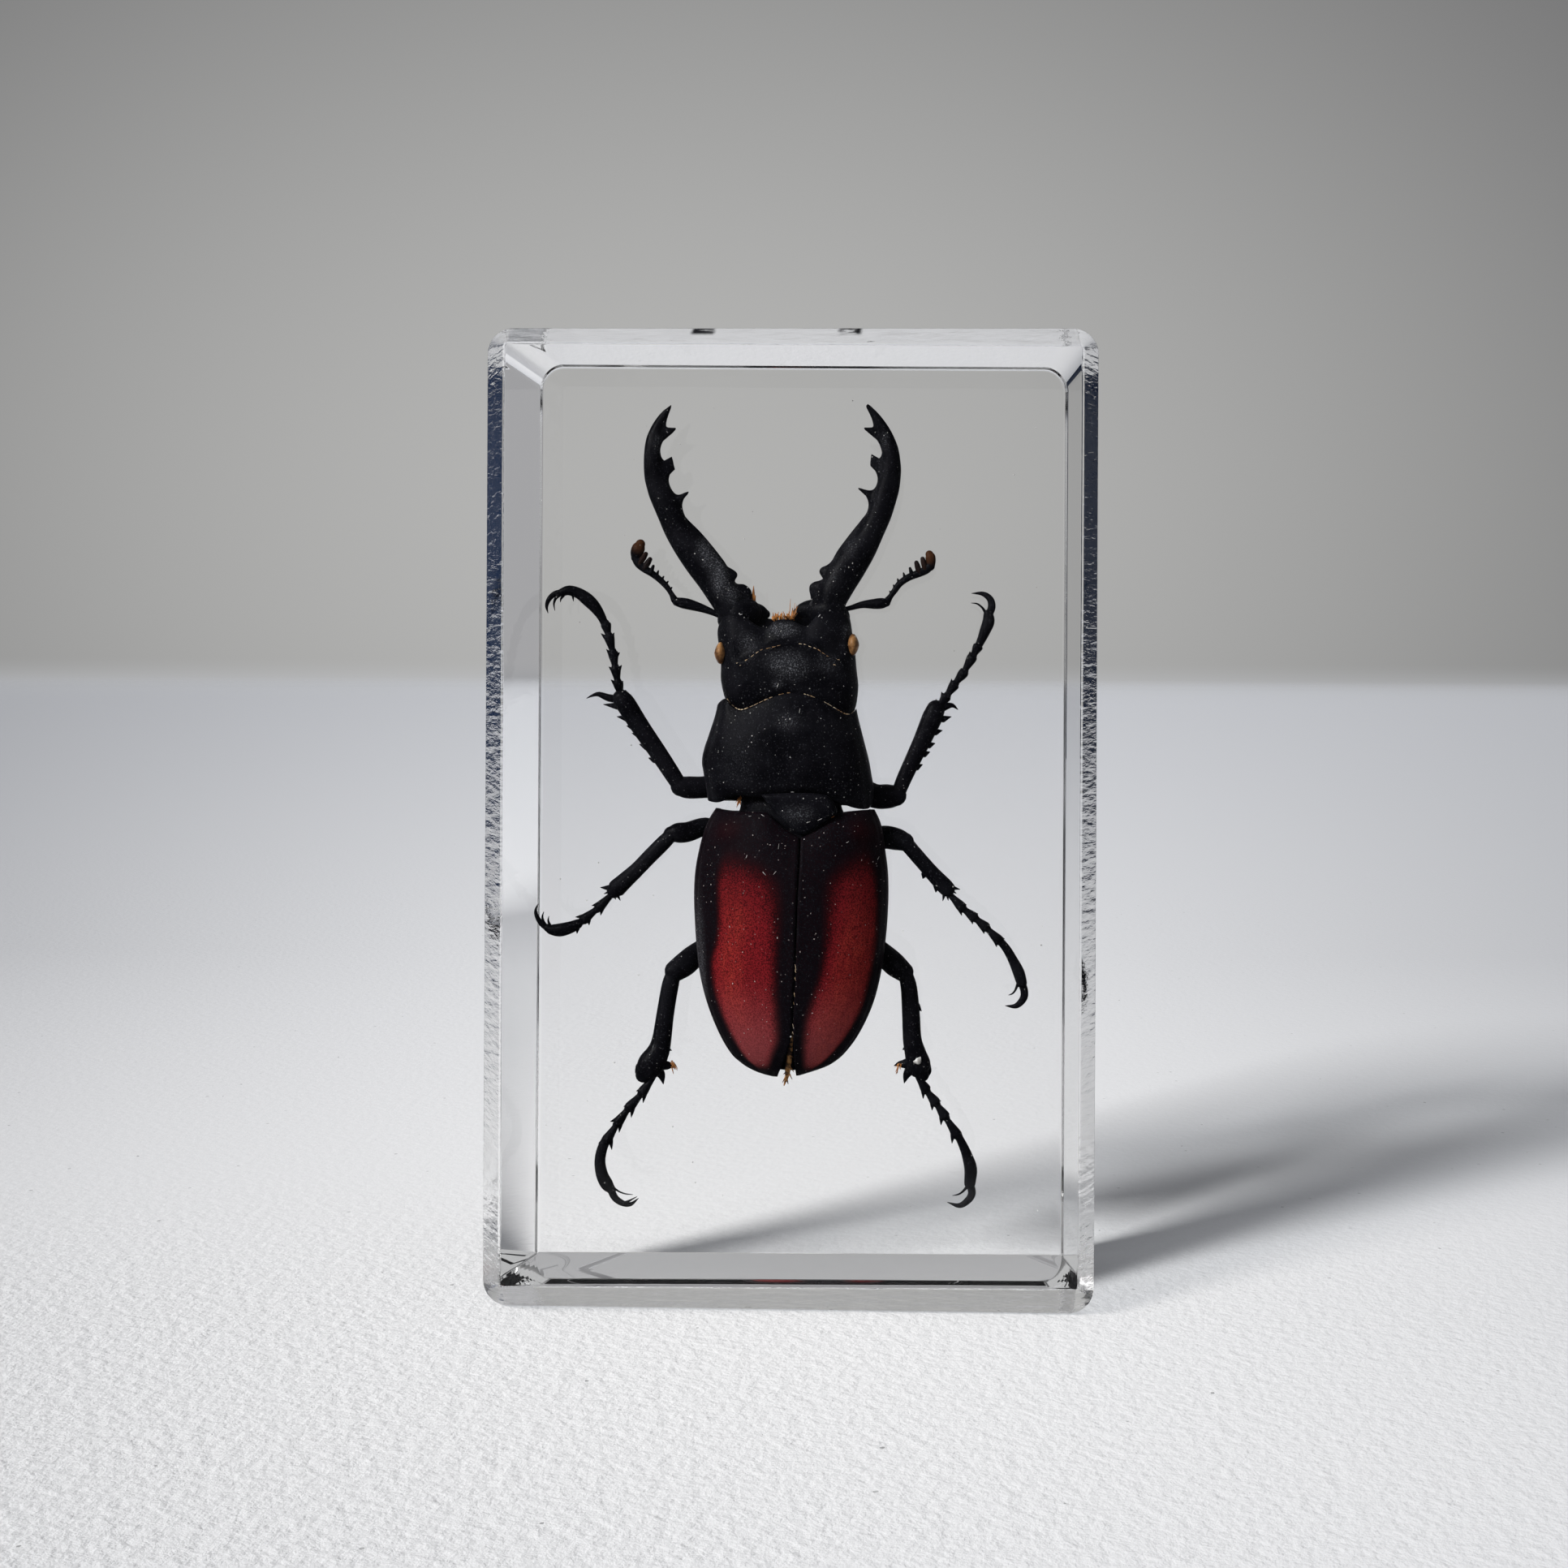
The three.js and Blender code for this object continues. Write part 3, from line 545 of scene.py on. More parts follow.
block = {
    "width": 70.1,
    "depth": 27.0,
    "height": 112.3,
    "sideDraft": 3.3,
    "topDraft": 2.5,
    "backShift": 0.5,
    "rimTilt": 1.0,
    "heel": (2.6, 3.2),  # rise and depth of the slant under the back
    "cornerRadius": 3.0,
    "frontChamfer": (2.5, 4.4),
    "frontShift": 0.55,
    "frontLift": 1.4,
    "frontRadius": 0.3,
    "backRadius": 0.35,
    "near": 0.01,
    "sameLevel": 0.001,
}
resinLook = {
    "ior": 1.5,
    "tint": (0.93, 0.93, 0.91, 1.0),
    "density": 3.0,
    "wave": 0.6,
    "waveDepth": 0.0003,
    "waveScale": 1300.0,
    "waveStretch": (0.25, 0.25, 1.0),
    "slantStart": (0.15, 0.3),  # how squarely the slanted front edges face the front
    "slantEnd": (0.93, 0.99, 1.0, 0.0),
    "slantDepth": (-0.005, -0.003, 1.0, 0.0),
    "flatFacing": (0.7, 0.97),
    "faceShadow": (0.95, 0.955, 0.96, 1.0),
    "sideShadow": (0.10, 0.103, 0.108, 1.0),
    "sideLight": (0.80, 0.81, 0.82, 1.0),
    "lossDepth": (-0.003, 0.003),
    "marks": (-0.0100, 0.0067),  # two dark smudges on the upper front edge
    "markReach": (0.0010, 0.0016, 1.0, 0.0),
    "markHeight": (0.1109, 0.1115),
    "markDepth": (-0.0092, -0.0088, 1.0, 0.0),
    "markGrain": (0.30, 0.50),
    "markColor": (0.012, 0.012, 0.014, 1.0),
}


def makeResinMaterial():
    look = resinLook
    material, tree = newMaterial("clearResin")
    coords = addNode(tree, "TexCoord").outputs
    x, y, z = splitAxes(tree, coords["Object"])
    upright = joinMath(tree, "ABSOLUTE", splitAxes(tree, coords["Normal"])[1], 0.0)
    stretched = addNode(tree, "Mapping", Vector=coords["Object"], Scale=look["waveStretch"]).outputs[0]
    waves = noiseAt(tree, stretched, look["waveScale"], 4.0)
    slanted = joinMath(tree, "MULTIPLY", spread(tree, upright, *look["slantStart"]),
                       spread(tree, upright, *look["slantEnd"]), spread(tree, y, *look["slantDepth"]))
    bump = addNode(tree, "Bump", Strength=look["wave"], Distance=look["waveDepth"],
                   Height=joinMath(tree, "MULTIPLY", waves, slanted))
    resin = addNode(tree, "BsdfPrincipled", Roughness=0.0, IOR=look["ior"], Normal=bump.outputs[0])
    resin.inputs["Base Color"].default_value = (1.0, 1.0, 1.0, 1.0)
    resin.inputs["Transmission Weight"].default_value = 1.0
    lost = spread(tree, y, *look["lossDepth"])  # the rear half of each side wall turns the light away
    side = mixColor(tree, lost, look["sideLight"], look["sideShadow"])
    shadow = mixColor(tree, spread(tree, upright, *look["flatFacing"]), side, look["faceShadow"])
    through = addNode(tree, "BsdfTransparent", Color=shadow)  # front and back let the light straight through
    path = addNode(tree, "LightPath").outputs
    straightOn = joinMath(tree, "MAXIMUM", path["Is Shadow Ray"], path["Is Diffuse Ray"])
    body = mixShaders(tree, straightOn, resin.outputs[0], through.outputs[0])
    spots = 0.0
    for middle in look["marks"]:
        off = joinMath(tree, "ABSOLUTE", joinMath(tree, "SUBTRACT", x, middle), 0.0)
        spots = joinMath(tree, "MAXIMUM", spread(tree, off, *look["markReach"]), spots)
    spots = joinMath(tree, "MULTIPLY", spots, spread(tree, z, *look["markHeight"]),
                     spread(tree, y, *look["markDepth"]), spread(tree, waves, *look["markGrain"]))
    smudge = addNode(tree, "BsdfDiffuse", Color=look["markColor"])
    absorb = addNode(tree, "VolumeAbsorption", Color=look["tint"], Density=look["density"])
    addNode(tree, "OutputMaterial", Surface=mixShaders(tree, spots, body, smudge.outputs[0]),
            Volume=absorb.outputs[0])
    return material


def makeBlock(material):
    bm = bmesh.new()
    width, depth, height, near = (block[key] for key in ("width", "depth", "height", "near"))
    size = Matrix.Diagonal((width, depth, height, 1.0))
    bmesh.ops.create_cube(bm, size=1.0, matrix=Matrix.Translation((0, 0, height / 2)) @ size)
    halfDepth = depth / 2

    def rim(level):
        return [e for e in bm.edges if all(abs(v.co.y - level) < block["sameLevel"] for v in e.verts)]

    def roundOff(edges, radius, segments):
        bmesh.ops.bevel(bm, geom=edges, offset=radius, affect="EDGES", segments=segments, profile=0.5, material=-1)

    roundOff([e for e in bm.edges if abs(e.verts[0].co.y - e.verts[1].co.y) > 1.0], block["cornerRadius"], 12)
    wide, deep = block["frontChamfer"]
    roundOff(rim(-halfDepth), wide, 1)
    for vert in bm.verts:  # the front's slanted edge runs deeper than it is wide
        if vert.co.y < -halfDepth + wide + near:
            vert.co.y = -halfDepth + (vert.co.y + halfDepth) * deep / wide
    face = [vert for vert in bm.verts if vert.co.y < -halfDepth + near]
    foot = [vert for vert in face if vert.co.z < height / 2]
    bmesh.ops.translate(bm, vec=(block["frontShift"], 0, 0), verts=face)  # its left edge slants more than its right
    bmesh.ops.translate(bm, vec=(0, 0, block["frontLift"]), verts=foot)  # and its foot more than its top
    for level in (-halfDepth, deep - halfDepth):
        roundOff(rim(level), block["frontRadius"], 4)
    roundOff(rim(halfDepth), block["backRadius"], 6)
    for vert in bm.verts:  # the mould's draft
        share = min((vert.co.y + halfDepth) / deep, 1.0) if vert.co.y < 0 else 0.0
        back = max((vert.co.y + halfDepth - deep) / (depth - deep), 0.0)
        vert.co.y -= share * block["rimTilt"] * vert.co.x * 2 / width  # the rim lies deeper at the left
        vert.co.x *= 1 - 2 * block["sideDraft"] * back / width
        vert.co.x += block["backShift"] * back
        if vert.co.z > height / 2:
            vert.co.z -= block["topDraft"] * back
    heelRise, heelDepth = block["heel"]
    cut = bmesh.ops.bisect_plane(bm, geom=bm.verts[:] + bm.edges[:] + bm.faces[:], plane_co=(0, halfDepth, heelRise),
                                 plane_no=(0, heelRise, -heelDepth), clear_outer=True)["geom_cut"]
    bmesh.ops.contextual_create(bm, geom=[item for item in cut if isinstance(item, bmesh.types.BMEdge)])
    obj = finishPiece("resinBlock", bm, material, ("resin_front_half", "resin_back_half"), rise=0.0)
    weighted = obj.modifiers.new("flatFaces", "WEIGHTED_NORMAL")
    weighted.mode = "FACE_AREA"
    weighted.weight = 100


makeBlock(makeResinMaterial())
print("resin block made")


# head

head = {
    "edgeY": 0.6,
    "square": 0.82,
    "outline": [(0.0, -7.2, 6.6, -2.7, 3.0), (0.1, -7.9, 7.3, -3.0, 3.2), (0.18, -8.2, 7.5, -3.3, 3.4),
                (0.31, -8.45, 7.6, -3.6, 3.6), (0.49, -8.45, 7.4, -3.7, 3.5), (0.69, -8.6, 7.2, -3.4, 3.2),
                (0.78, -8.8, 7.05, -3.1, 3.0), (0.93, -8.85, 6.75, -2.5, 2.5), (1.0, -8.5, 6.4, -2.0, 2.1)],
    "rear": [(-8.6, 67.6), (-7.0, 66.7), (-5.6, 66.2), (-3.0, 67.2), (-0.4, 67.9), (2.4, 67.3), (5.2, 66.0),
             (6.6, 65.8), (7.7, 66.8)],
    "front": [(-8.9, 77.1), (-8.2, 78.0), (-7.0, 78.4), (-6.0, 78.2), (-5.4, 77.8), (-4.3, 77.0), (-3.0, 76.6),
              (-2.2, 77.4), (-1.0, 77.7), (0.2, 77.4), (1.6, 76.8), (2.5, 77.8), (3.1, 78.4), (4.6, 79.0),
              (5.8, 79.0), (6.5, 78.4), (6.9, 77.4)],
    "ridge": [(-7.4, 72.3), (-6.3, 72.5), (-5.3, 72.8), (-3.8, 73.9), (-2.5, 74.35), (-1.4, 74.6), (-0.1, 74.8),
              (1.1, 74.8), (2.0, 74.55), (2.9, 74.2), (3.9, 73.5), (5.5, 73.1), (6.4, 73.0)],
    "jawSockets": [[(-7.6, 0.4, 77.6, 1.3), (-6.6, 0.2, 78.2, 1.9), (-5.4, 0.4, 78.4, 1.7)],
                   [(5.2, 0.4, 78.0, 1.4), (4.4, 0.2, 78.6, 1.9), (3.2, 0.4, 78.6, 1.7)]],
    "mouthLobes": [[(-6.09, 78.26, 1.04), (-5.05, 78.69, 0.95), (-4.1, 78.65, 0.82), (-3.34, 78.28, 0.57)],
                   [(3.4, 78.6, 1.42), (2.26, 78.78, 1.28), (1.22, 78.63, 1.09), (0.55, 78.3, 0.78)]],
    "lobeDepth": 1.0,
    "ridgeEnds": ((-7.2, -6.0), (5.4, 6.4)),
    "ridgeDrop": (0.5, 0.7),  # depth ahead of the brow ridge, and how much of it is lost further on
    "ridgeBead": (0.2, 0.22),
    "lip": (0.5, -1.0, 1.5, 77.0, 0.7),  # height, then middle and reach across and along
    "dent": (0.25, -0.6, 2.6, 70.6, 1.2),
}


def spot(x, z, amount, middleX, reachX, middleZ, reachZ):
    return amount * mound(x, middleX, reachX) * mound(z, middleZ, reachZ)


def headRelief(x, z, c, s):
    back = smoothStep(0.0, 0.5, -s)
    ahead = z - rowAt(head["ridge"], x)[0]
    within = window(x, *head["ridgeEnds"])
    depth, loss = head["ridgeDrop"]
    drop = depth * smoothStep(0.0, 0.7, ahead) * (1 - loss * smoothStep(1.6, 3.2, ahead)) * within
    height, wide = head["ridgeBead"]
    bead = height * mound(ahead, 0.0, wide) * within
    return back * (drop - bead - spot(x, z, *head["lip"]) + spot(x, z, *head["dent"]))


def makeHead():
    bm = startMesh()
    bodyShell(bm, head, headRelief, sides=96, steps=64)
    for socket in head["jawSockets"]:
        limb(bm, socket, sides=20, stepsEach=5, flat=0.9)
    for lobe in head["mouthLobes"]:
        limb(bm, atDepth(lobe, head["lobeDepth"]), sides=16, flat=0.6)
    finishPiece("headCapsule", bm, headShell, ("head",), carriesDust=True)


makeHead()

eyes = {
    "radii": (0.72, 1.1, 1.28),
    "left": (-8.42, -0.85, 73.7),
    "right": (7.0, -0.85, 74.75),
    "draw": 0.25,  # how far top and bottom are drawn to a point
}


def makeEyes():
    for side in ("left", "right"):
        bm = startMesh()
        middle = Vector(eyes[side])
        shape = Matrix.Translation(middle) @ Matrix.Diagonal((*eyes["radii"], 1.0))
        bmesh.ops.create_uvsphere(bm, u_segments=32, v_segments=20, radius=1.0, matrix=shape)
        for vert in bm.verts:
            height = (vert.co.z - middle.z) / eyes["radii"][2]
            vert.co.x = middle.x + (vert.co.x - middle.x) * (1 - eyes["draw"] * abs(height))
        finishPiece("eye" + side.capitalize(), bm, amberEye, ("eye_" + side,))


makeEyes()
print("head made")


# jaws

jaw = {
    "depth": 0.4,
    "slant": 36,  # turn of the cross-sections, which lets each one meet an edge only once
    "step": 0.12,
    "thick": [(0.0, 0.06), (0.05, 0.5), (0.14, 0.8), (0.3, 1.05), (0.5, 1.25), (0.75, 1.5), (1.0, 1.7)],
    "toothThick": 0.45,
    "left": {
        "inner": [
            (-14.41, 102.69), (-14.45, 102.27), (-14.78, 101.32), (-14.97, 100.56), (-14.91, 100.09),
            (-14.3, 100.0), (-13.88, 99.98), (-13.92, 99.7), (-14.39, 99.24), (-15.15, 98.67), (-15.52, 98.0),
            (-15.65, 97.34), (-15.52, 96.58), (-15.13, 96.16), (-14.76, 96.41), (-14.42, 96.72), (-14.21, 96.3),
            (-14.07, 95.64), (-13.95, 95.03), (-14.43, 94.69), (-14.65, 93.93), (-14.45, 93.08), (-13.98, 92.38),
            (-13.5, 92.19), (-12.89, 92.37), (-12.42, 92.6), (-12.35, 92.33), (-12.84, 91.76), (-13.06, 90.91),
            (-12.83, 89.96), (-12.4, 89.3), (-10.97, 87.89), (-9.54, 86.24), (-8.2, 84.54), (-7.77, 83.88),
            (-7.3, 83.59), (-6.73, 83.19), (-6.58, 82.74), (-6.87, 82.17), (-6.58, 81.83), (-5.77, 81.74),
            (-5.06, 81.19), (-4.89, 80.53), (-4.91, 79.67), (-5.0, 78.44),
        ],
        "outer": [
            (-14.43, 102.72), (-15.54, 101.79), (-16.48, 100.55), (-17.14, 99.22), (-17.42, 98.18), (-17.56, 96.85),
            (-17.58, 95.43), (-17.47, 94.01), (-17.2, 92.87), (-16.89, 91.83), (-16.34, 90.51), (-15.81, 89.28),
            (-14.99, 87.39), (-13.8, 85.27), (-12.37, 83.14), (-10.93, 81.25), (-9.5, 79.13), (-8.88, 78.23),
            (-8.12, 77.19), (-7.55, 76.34),
        ],
    },
    "right": {
        "inner": [
            (8.56, 102.92), (8.35, 102.58), (8.81, 101.63), (9.1, 100.88), (9.16, 100.25), (8.63, 100.15),
            (8.13, 100.13), (8.25, 99.83), (9.01, 99.27), (9.68, 98.61), (10.06, 97.85), (10.2, 97.13),
            (9.93, 96.58), (9.5, 96.77), (9.06, 97.11), (8.93, 96.61), (8.89, 95.66), (9.37, 95.19), (9.7, 94.44),
            (9.67, 93.68), (9.33, 93.01), (8.82, 92.82), (8.1, 92.95), (7.49, 93.12), (7.59, 92.8), (8.29, 92.25),
            (8.67, 91.3), (8.49, 90.26), (7.88, 89.41), (6.56, 87.74), (5.15, 85.84), (4.44, 84.6), (3.88, 84.08),
            (3.26, 83.79), (2.99, 83.41), (3.08, 82.94), (3.39, 82.54), (3.04, 82.27), (2.37, 82.08), (1.9, 81.7),
            (1.81, 81.13), (1.97, 80.37), (2.1, 79.43), (2.39, 78.01),
        ],
        "outer": [
            (8.59, 102.94), (9.76, 101.83), (10.8, 100.51), (11.57, 99.18), (12.15, 97.67), (12.44, 95.78),
            (12.45, 94.64), (12.27, 92.93), (11.89, 91.42), (11.43, 89.9), (11.15, 89.14), (10.35, 87.29),
            (9.42, 85.15), (8.24, 83.01), (7.07, 81.11), (6.25, 79.69), (5.9, 78.97), (5.52, 78.02), (5.15, 76.88),
            (4.87, 75.94),
        ],
    },
    "sides": 36,
    "curveSteps": 12,
    "leastStep": 0.0005,
    "coreReach": (14, 10),  # sections over which the blade's width is narrowed and then evened
}


def marginCurve(points, down):
    # a smooth line through the points, each with how far down the jaw it lies
    rows = [(i, *point) for i, point in enumerate(points)]
    steps = jaw["curveSteps"]
    curve, reach = [], -1000.0
    for n in range(steps * (len(points) - 1) + 1):
        place = Vector(rowAt(rows, n / steps))
        reach = max(reach + jaw["leastStep"], place.dot(down))
        curve.append((reach, place))
    return curve


def marginAt(curve, reach):
    i = 0
    while i < len(curve) - 2 and curve[i + 1][0] < reach:
        i += 1
    (start, near), (end, far) = curve[i], curve[i + 1]
    return near.lerp(far, min(max((reach - start) / (end - start), 0.0), 1.0))


def makeJaws():
    angle = math.radians(jaw["slant"])
    narrowing, evening = jaw["coreReach"]
    for side, sign in (("left", -1), ("right", 1)):
        bm = startMesh()
        down = Vector((-sign * math.sin(angle), -math.cos(angle)))
        inner, outer = marginCurve(jaw[side]["inner"], down), marginCurve(jaw[side]["outer"], down)
        first, last = max(inner[0][0], outer[0][0]) + 0.02, min(inner[-1][0], outer[-1][0])
        count = int((last - first) / jaw["step"]) + 1
        reaches = [first + (last - first) * n / (count - 1) for n in range(count)]
        edges = [(marginAt(outer, reach), marginAt(inner, reach)) for reach in reaches]
        widths = [(into - out).length for out, into in edges]
        narrow = [min(widths[max(3, n - narrowing):n + narrowing + 1]) for n in range(count)]
        spans = [narrow[max(0, n - evening):n + evening + 1] for n in range(count)]
        cores = [sum(span) / len(span) for span in spans]

        def jawPoint(ring, number):
            out, into = edges[ring]
            turn = 2 * math.pi * number / jaw["sides"]
            share = (1 - math.cos(turn)) / 2
            blade = max(0.0, 1 - (2 * share * widths[ring] / cores[ring] - 1) ** 2) ** 0.5
            tooth = jaw["toothThick"] * smoothStep(0, 0.35, share) * max(0.0, 1 - share ** 2) ** 0.5
            thick = rowAt(jaw["thick"], ring / (count - 1))[0] * (blade ** 3 + tooth ** 3) ** (1 / 3)
            place = out.lerp(into, share)
            return Vector((place.x, jaw["depth"] + math.copysign(thick, math.sin(turn)), place.y))

        loft(bm, jaw["sides"], count, jawPoint)
        finishPiece("jaw" + side.capitalize(), bm, jawShell, ("mandible_" + side,), carriesDust=True)


makeJaws()
print("jaws made")


# feelers

feelers = {
    "depth": 0.6,
    "left": {
        "scape": [
            (-7.75, 77.39, 0.28), (-8.8, 78.14, 0.31), (-10.42, 78.84, 0.46), (-12.13, 79.36, 0.63),
            (-12.98, 79.54, 0.63), (-13.69, 79.69, 0.51),
        ],
        "whip": [
            (-13.93, 79.92, 0.44), (-14.31, 80.62, 0.3), (-14.89, 81.48, 0.34), (-15.74, 82.32, 0.37),
            (-16.6, 82.98, 0.4), (-17.41, 83.5, 0.46), (-18.12, 84.11, 0.51), (-18.51, 84.82, 0.51),
        ],
        "lobes": [
            [(-16.74, 83.03, 0.34), (-16.43, 83.84, 0.17)],
            [(-17.46, 83.59, 0.36), (-17.08, 84.21, 0.36), (-16.82, 84.62, 0.28)],
            [(-18.08, 84.11, 0.36), (-17.61, 84.78, 0.36), (-17.32, 85.23, 0.28)],
        ],
        "teeth": [
            [(-16.08, 82.65, 0.28), (-15.84, 83.28, 0.09)], [(-15.51, 82.14, 0.27), (-15.22, 82.62, 0.09)],
            [(-15.03, 81.66, 0.25), (-14.7, 82.05, 0.09)], [(-14.6, 81.05, 0.23), (-14.26, 81.34, 0.09)],
        ],
        "bulb": [(-18.51, 84.82, 0.53), (-18.4, 85.39, 0.72), (-18.15, 85.96, 0.77), (-17.95, 86.39, 0.57)],
    },
    "right": {
        "scape": [
            (5.79, 78.88, 0.28), (6.69, 79.08, 0.3), (8.02, 79.46, 0.42), (9.49, 79.56, 0.61), (10.25, 79.63, 0.63),
            (10.81, 79.72, 0.51),
        ],
        "whip": [
            (11.0, 80.0, 0.44), (11.33, 80.47, 0.32), (11.8, 81.14, 0.36), (12.41, 81.97, 0.39),
            (13.45, 82.69, 0.42), (14.64, 83.17, 0.46), (15.53, 83.62, 0.49), (16.01, 84.24, 0.49),
        ],
        "lobes": [
            [(13.83, 82.91, 0.32), (13.57, 83.74, 0.16)],
            [(14.64, 83.29, 0.34), (14.45, 83.95, 0.34), (14.32, 84.39, 0.27)],
            [(15.34, 83.67, 0.34), (15.15, 84.43, 0.34), (15.04, 84.85, 0.27)],
        ],
        "teeth": [
            [(13.03, 82.43, 0.28), (12.81, 83.18, 0.09)], [(12.32, 81.85, 0.27), (12.13, 82.48, 0.09)],
            [(11.85, 81.19, 0.25), (11.66, 81.76, 0.09)], [(11.47, 80.62, 0.23), (11.23, 81.03, 0.09)],
        ],
        "bulb": [(15.96, 83.96, 0.51), (16.0, 84.62, 0.57), (15.93, 85.1, 0.59), (15.83, 85.38, 0.47)],
    },
    "lobeFlat": 1.3,
    "bulbFlat": 0.8,
    "lobeBrown": 0.12,
    "brownReach": (0.5, 1.6),
}


def makeFeelers():
    depth = feelers["depth"]
    for side in ("left", "right"):
        parts = feelers[side]
        bm = startMesh("brownTip")
        brown = bm.verts.layers.float["brownTip"]
        for stations in (parts["scape"], parts["whip"], *parts["teeth"]):
            limb(bm, atDepth(stations, depth))
        for number, lobe in enumerate(parts["lobes"]):
            for vert in limb(bm, atDepth(lobe, depth), flat=feelers["lobeFlat"]):
                vert[brown] = feelers["lobeBrown"] * number
        bulb = atDepth(parts["bulb"], depth)
        tip = Vector(bulb[-1][:3])
        for vert in limb(bm, bulb, flat=feelers["bulbFlat"]):
            vert[brown] = 1 - smoothStep(*feelers["brownReach"], (vert.co - tip).length)
        finishPiece("feeler" + side.capitalize(), bm, feelerShell, ("antenna_" + side,))


makeFeelers()
print("feelers made")


# thorax

shield = {
    "edgeY": 0.6,
    "square": 0.84,
    "outline": [(0.0, -9.9, 9.35, -3.4, 3.2), (0.09, -10.1, 9.45, -4.2, 3.8), (0.2, -10.3, 9.4, -4.6, 4.2),
                (0.29, -10.45, 9.25, -4.85, 4.3), (0.38, -10.6, 9.1, -5.0, 4.5), (0.48, -10.5, 8.9, -5.0, 4.5),
                (0.68, -9.9, 8.3, -4.8, 4.4), (0.88, -9.2, 7.7, -4.3, 4.0), (1.0, -8.85, 7.4, -3.8, 3.5)],
    "rear": [(-10.2, 56.9), (-9.8, 56.5), (-8.4, 56.4), (-6.3, 57.2), (-3.5, 57.0), (1.4, 57.2), (3.3, 57.3),
             (5.7, 56.4), (7.4, 55.8), (8.9, 55.7), (9.4, 56.3)],
    "front": [(-9.0, 67.4), (-8.4, 68.1), (-7.7, 68.4), (-7.1, 67.7), (-6.0, 67.1), (-4.7, 67.5), (-3.2, 68.2),
              (-1.7, 68.8), (-0.2, 69.1), (1.3, 69.0), (2.6, 68.6), (3.9, 68.0), (5.4, 67.1), (6.4, 66.6),
              (7.0, 66.8), (7.4, 67.3)],
    "waist": {
        "edgeY": 0.6,
        "square": 0.85,
        "outline": [(0.0, -9.6, 9.4, -3.6, 5.0), (0.25, -9.9, 9.6, -3.9, 5.2), (0.52, -9.5, 9.3, -3.6, 5.2),
                    (0.7, -8.6, 8.6, -3.0, 5.0), (0.84, -6.5, 6.2, -2.9, 4.4), (0.92, -6.05, 5.7, -2.8, 4.0),
                    (1.0, -6.0, 5.7, -2.6, 3.8)],
        "rear": [(-10, 42.4), (0, 42.4), (10, 42.4)],
        "front": [(-10, 57.2), (0, 57.2), (10, 57.2)],
    },
    "plate": [(-3.4, 57.4), (-2.5, 56.2), (-1.7, 55.3), (-0.6, 54.2), (0.4, 53.2), (1.2, 52.85), (2.2, 53.05),
              (3.4, 53.8), (4.4, 54.6), (5.3, 55.3), (4.9, 56.5), (3.8, 57.4), (0.4, 57.6)],
    "plateLevels": [(-2.6, 1.0), (-4.3, 1.0), (-4.62, 0.95), (-4.78, 0.86), (-4.74, 0.72), (-4.82, 0.5),
                    (-4.84, 0.2)],
    "plateMiddle": (1.0, 55.4),
    "plateSides": 60,
    "groove": (0.22, 0.93, 0.03),  # depth, place and reach of the groove inside the side edge
    "dimple": (0.22, -0.6, 0.5),
    "dimpleEnds": ((58, 61), (64, 67)),
    "keel": (0.35, 0.0, 0.35),
}


def shieldRelief(x, z, c, s):
    back = smoothStep(0.0, 0.3, -s)
    depth, place, reach = shield["groove"]
    low, middle, wide = shield["dimple"]
    return back * (depth * mound(abs(c), place, reach)
                   + low * mound(x, middle, wide) * window(z, *shield["dimpleEnds"]))


def chestRelief(x, z, c, s):
    height, middle, wide = shield["keel"]
    return -smoothStep(0.3, 0.8, s) * height * mound(x, middle, wide)


def makeThorax():
    bm = startMesh()
    bodyShell(bm, shield, shieldRelief, sides=96, steps=56)
    finishPiece("shield", bm, shieldShell, ("front_thorax",), carriesDust=True)
    bm = startMesh()
    bodyShell(bm, shield["waist"], chestRelief, sides=72, steps=36)
    plate, sides = shield["plate"], shield["plateSides"]
    middleX, middleZ = shield["plateMiddle"]
    turn = [(i, *point) for i, point in enumerate(plate + plate[:1])]

    def platePoint(ring, side):
        depth, size = shield["plateLevels"][ring]
        x, z = rowAt(turn, side / sides * len(plate))
        return Vector((middleX + (x - middleX) * size, depth, middleZ + (z - middleZ) * size))

    loft(bm, sides, len(shield["plateLevels"]), platePoint)
    finishPiece("chest", bm, shieldShell, ("rear_thorax",), carriesDust=True)


makeThorax()
print("thorax made")


# belly

belly = {
    "edgeY": 0.6,
    "square": 0.86,
    "outline": [(0.0, -4.0, 2.6, 1.5, 3.2), (0.12, -5.7, 5.0, 0.6, 4.2), (0.29, -7.4, 7.0, -0.6, 4.9),
                (0.49, -8.7, 8.4, -2.2, 5.2), (0.73, -9.4, 9.1, -3.3, 5.3), (1.0, -9.6, 9.4, -3.6, 5.0)],
    "rear": [(-10, 25.2), (-3, 25.2), (0, 25.0), (3, 25.2), (10, 25.2)],
    "front": [(-10, 42.6), (0, 42.6), (10, 42.6)],
    "creases": [27.9, 30.8, 34.0, 37.3, 40.4],
    "crease": (0.3, 0.16, 0.012),  # depth, reach and bow
}


def bellyRelief(x, z, c, s):
    depth, reach, bend = belly["crease"]
    bow = z - bend * x * x
    return -smoothStep(0.05, 0.4, s) * sum(depth * mound(bow, crease, reach) for crease in belly["creases"])


def makeBelly():
    bm = startMesh()
    bodyShell(bm, belly, bellyRelief, sides=72, steps=110)
    finishPiece("belly", bm, blackShell, ("abdomen",))


makeBelly()
print("belly made")


# wing cases

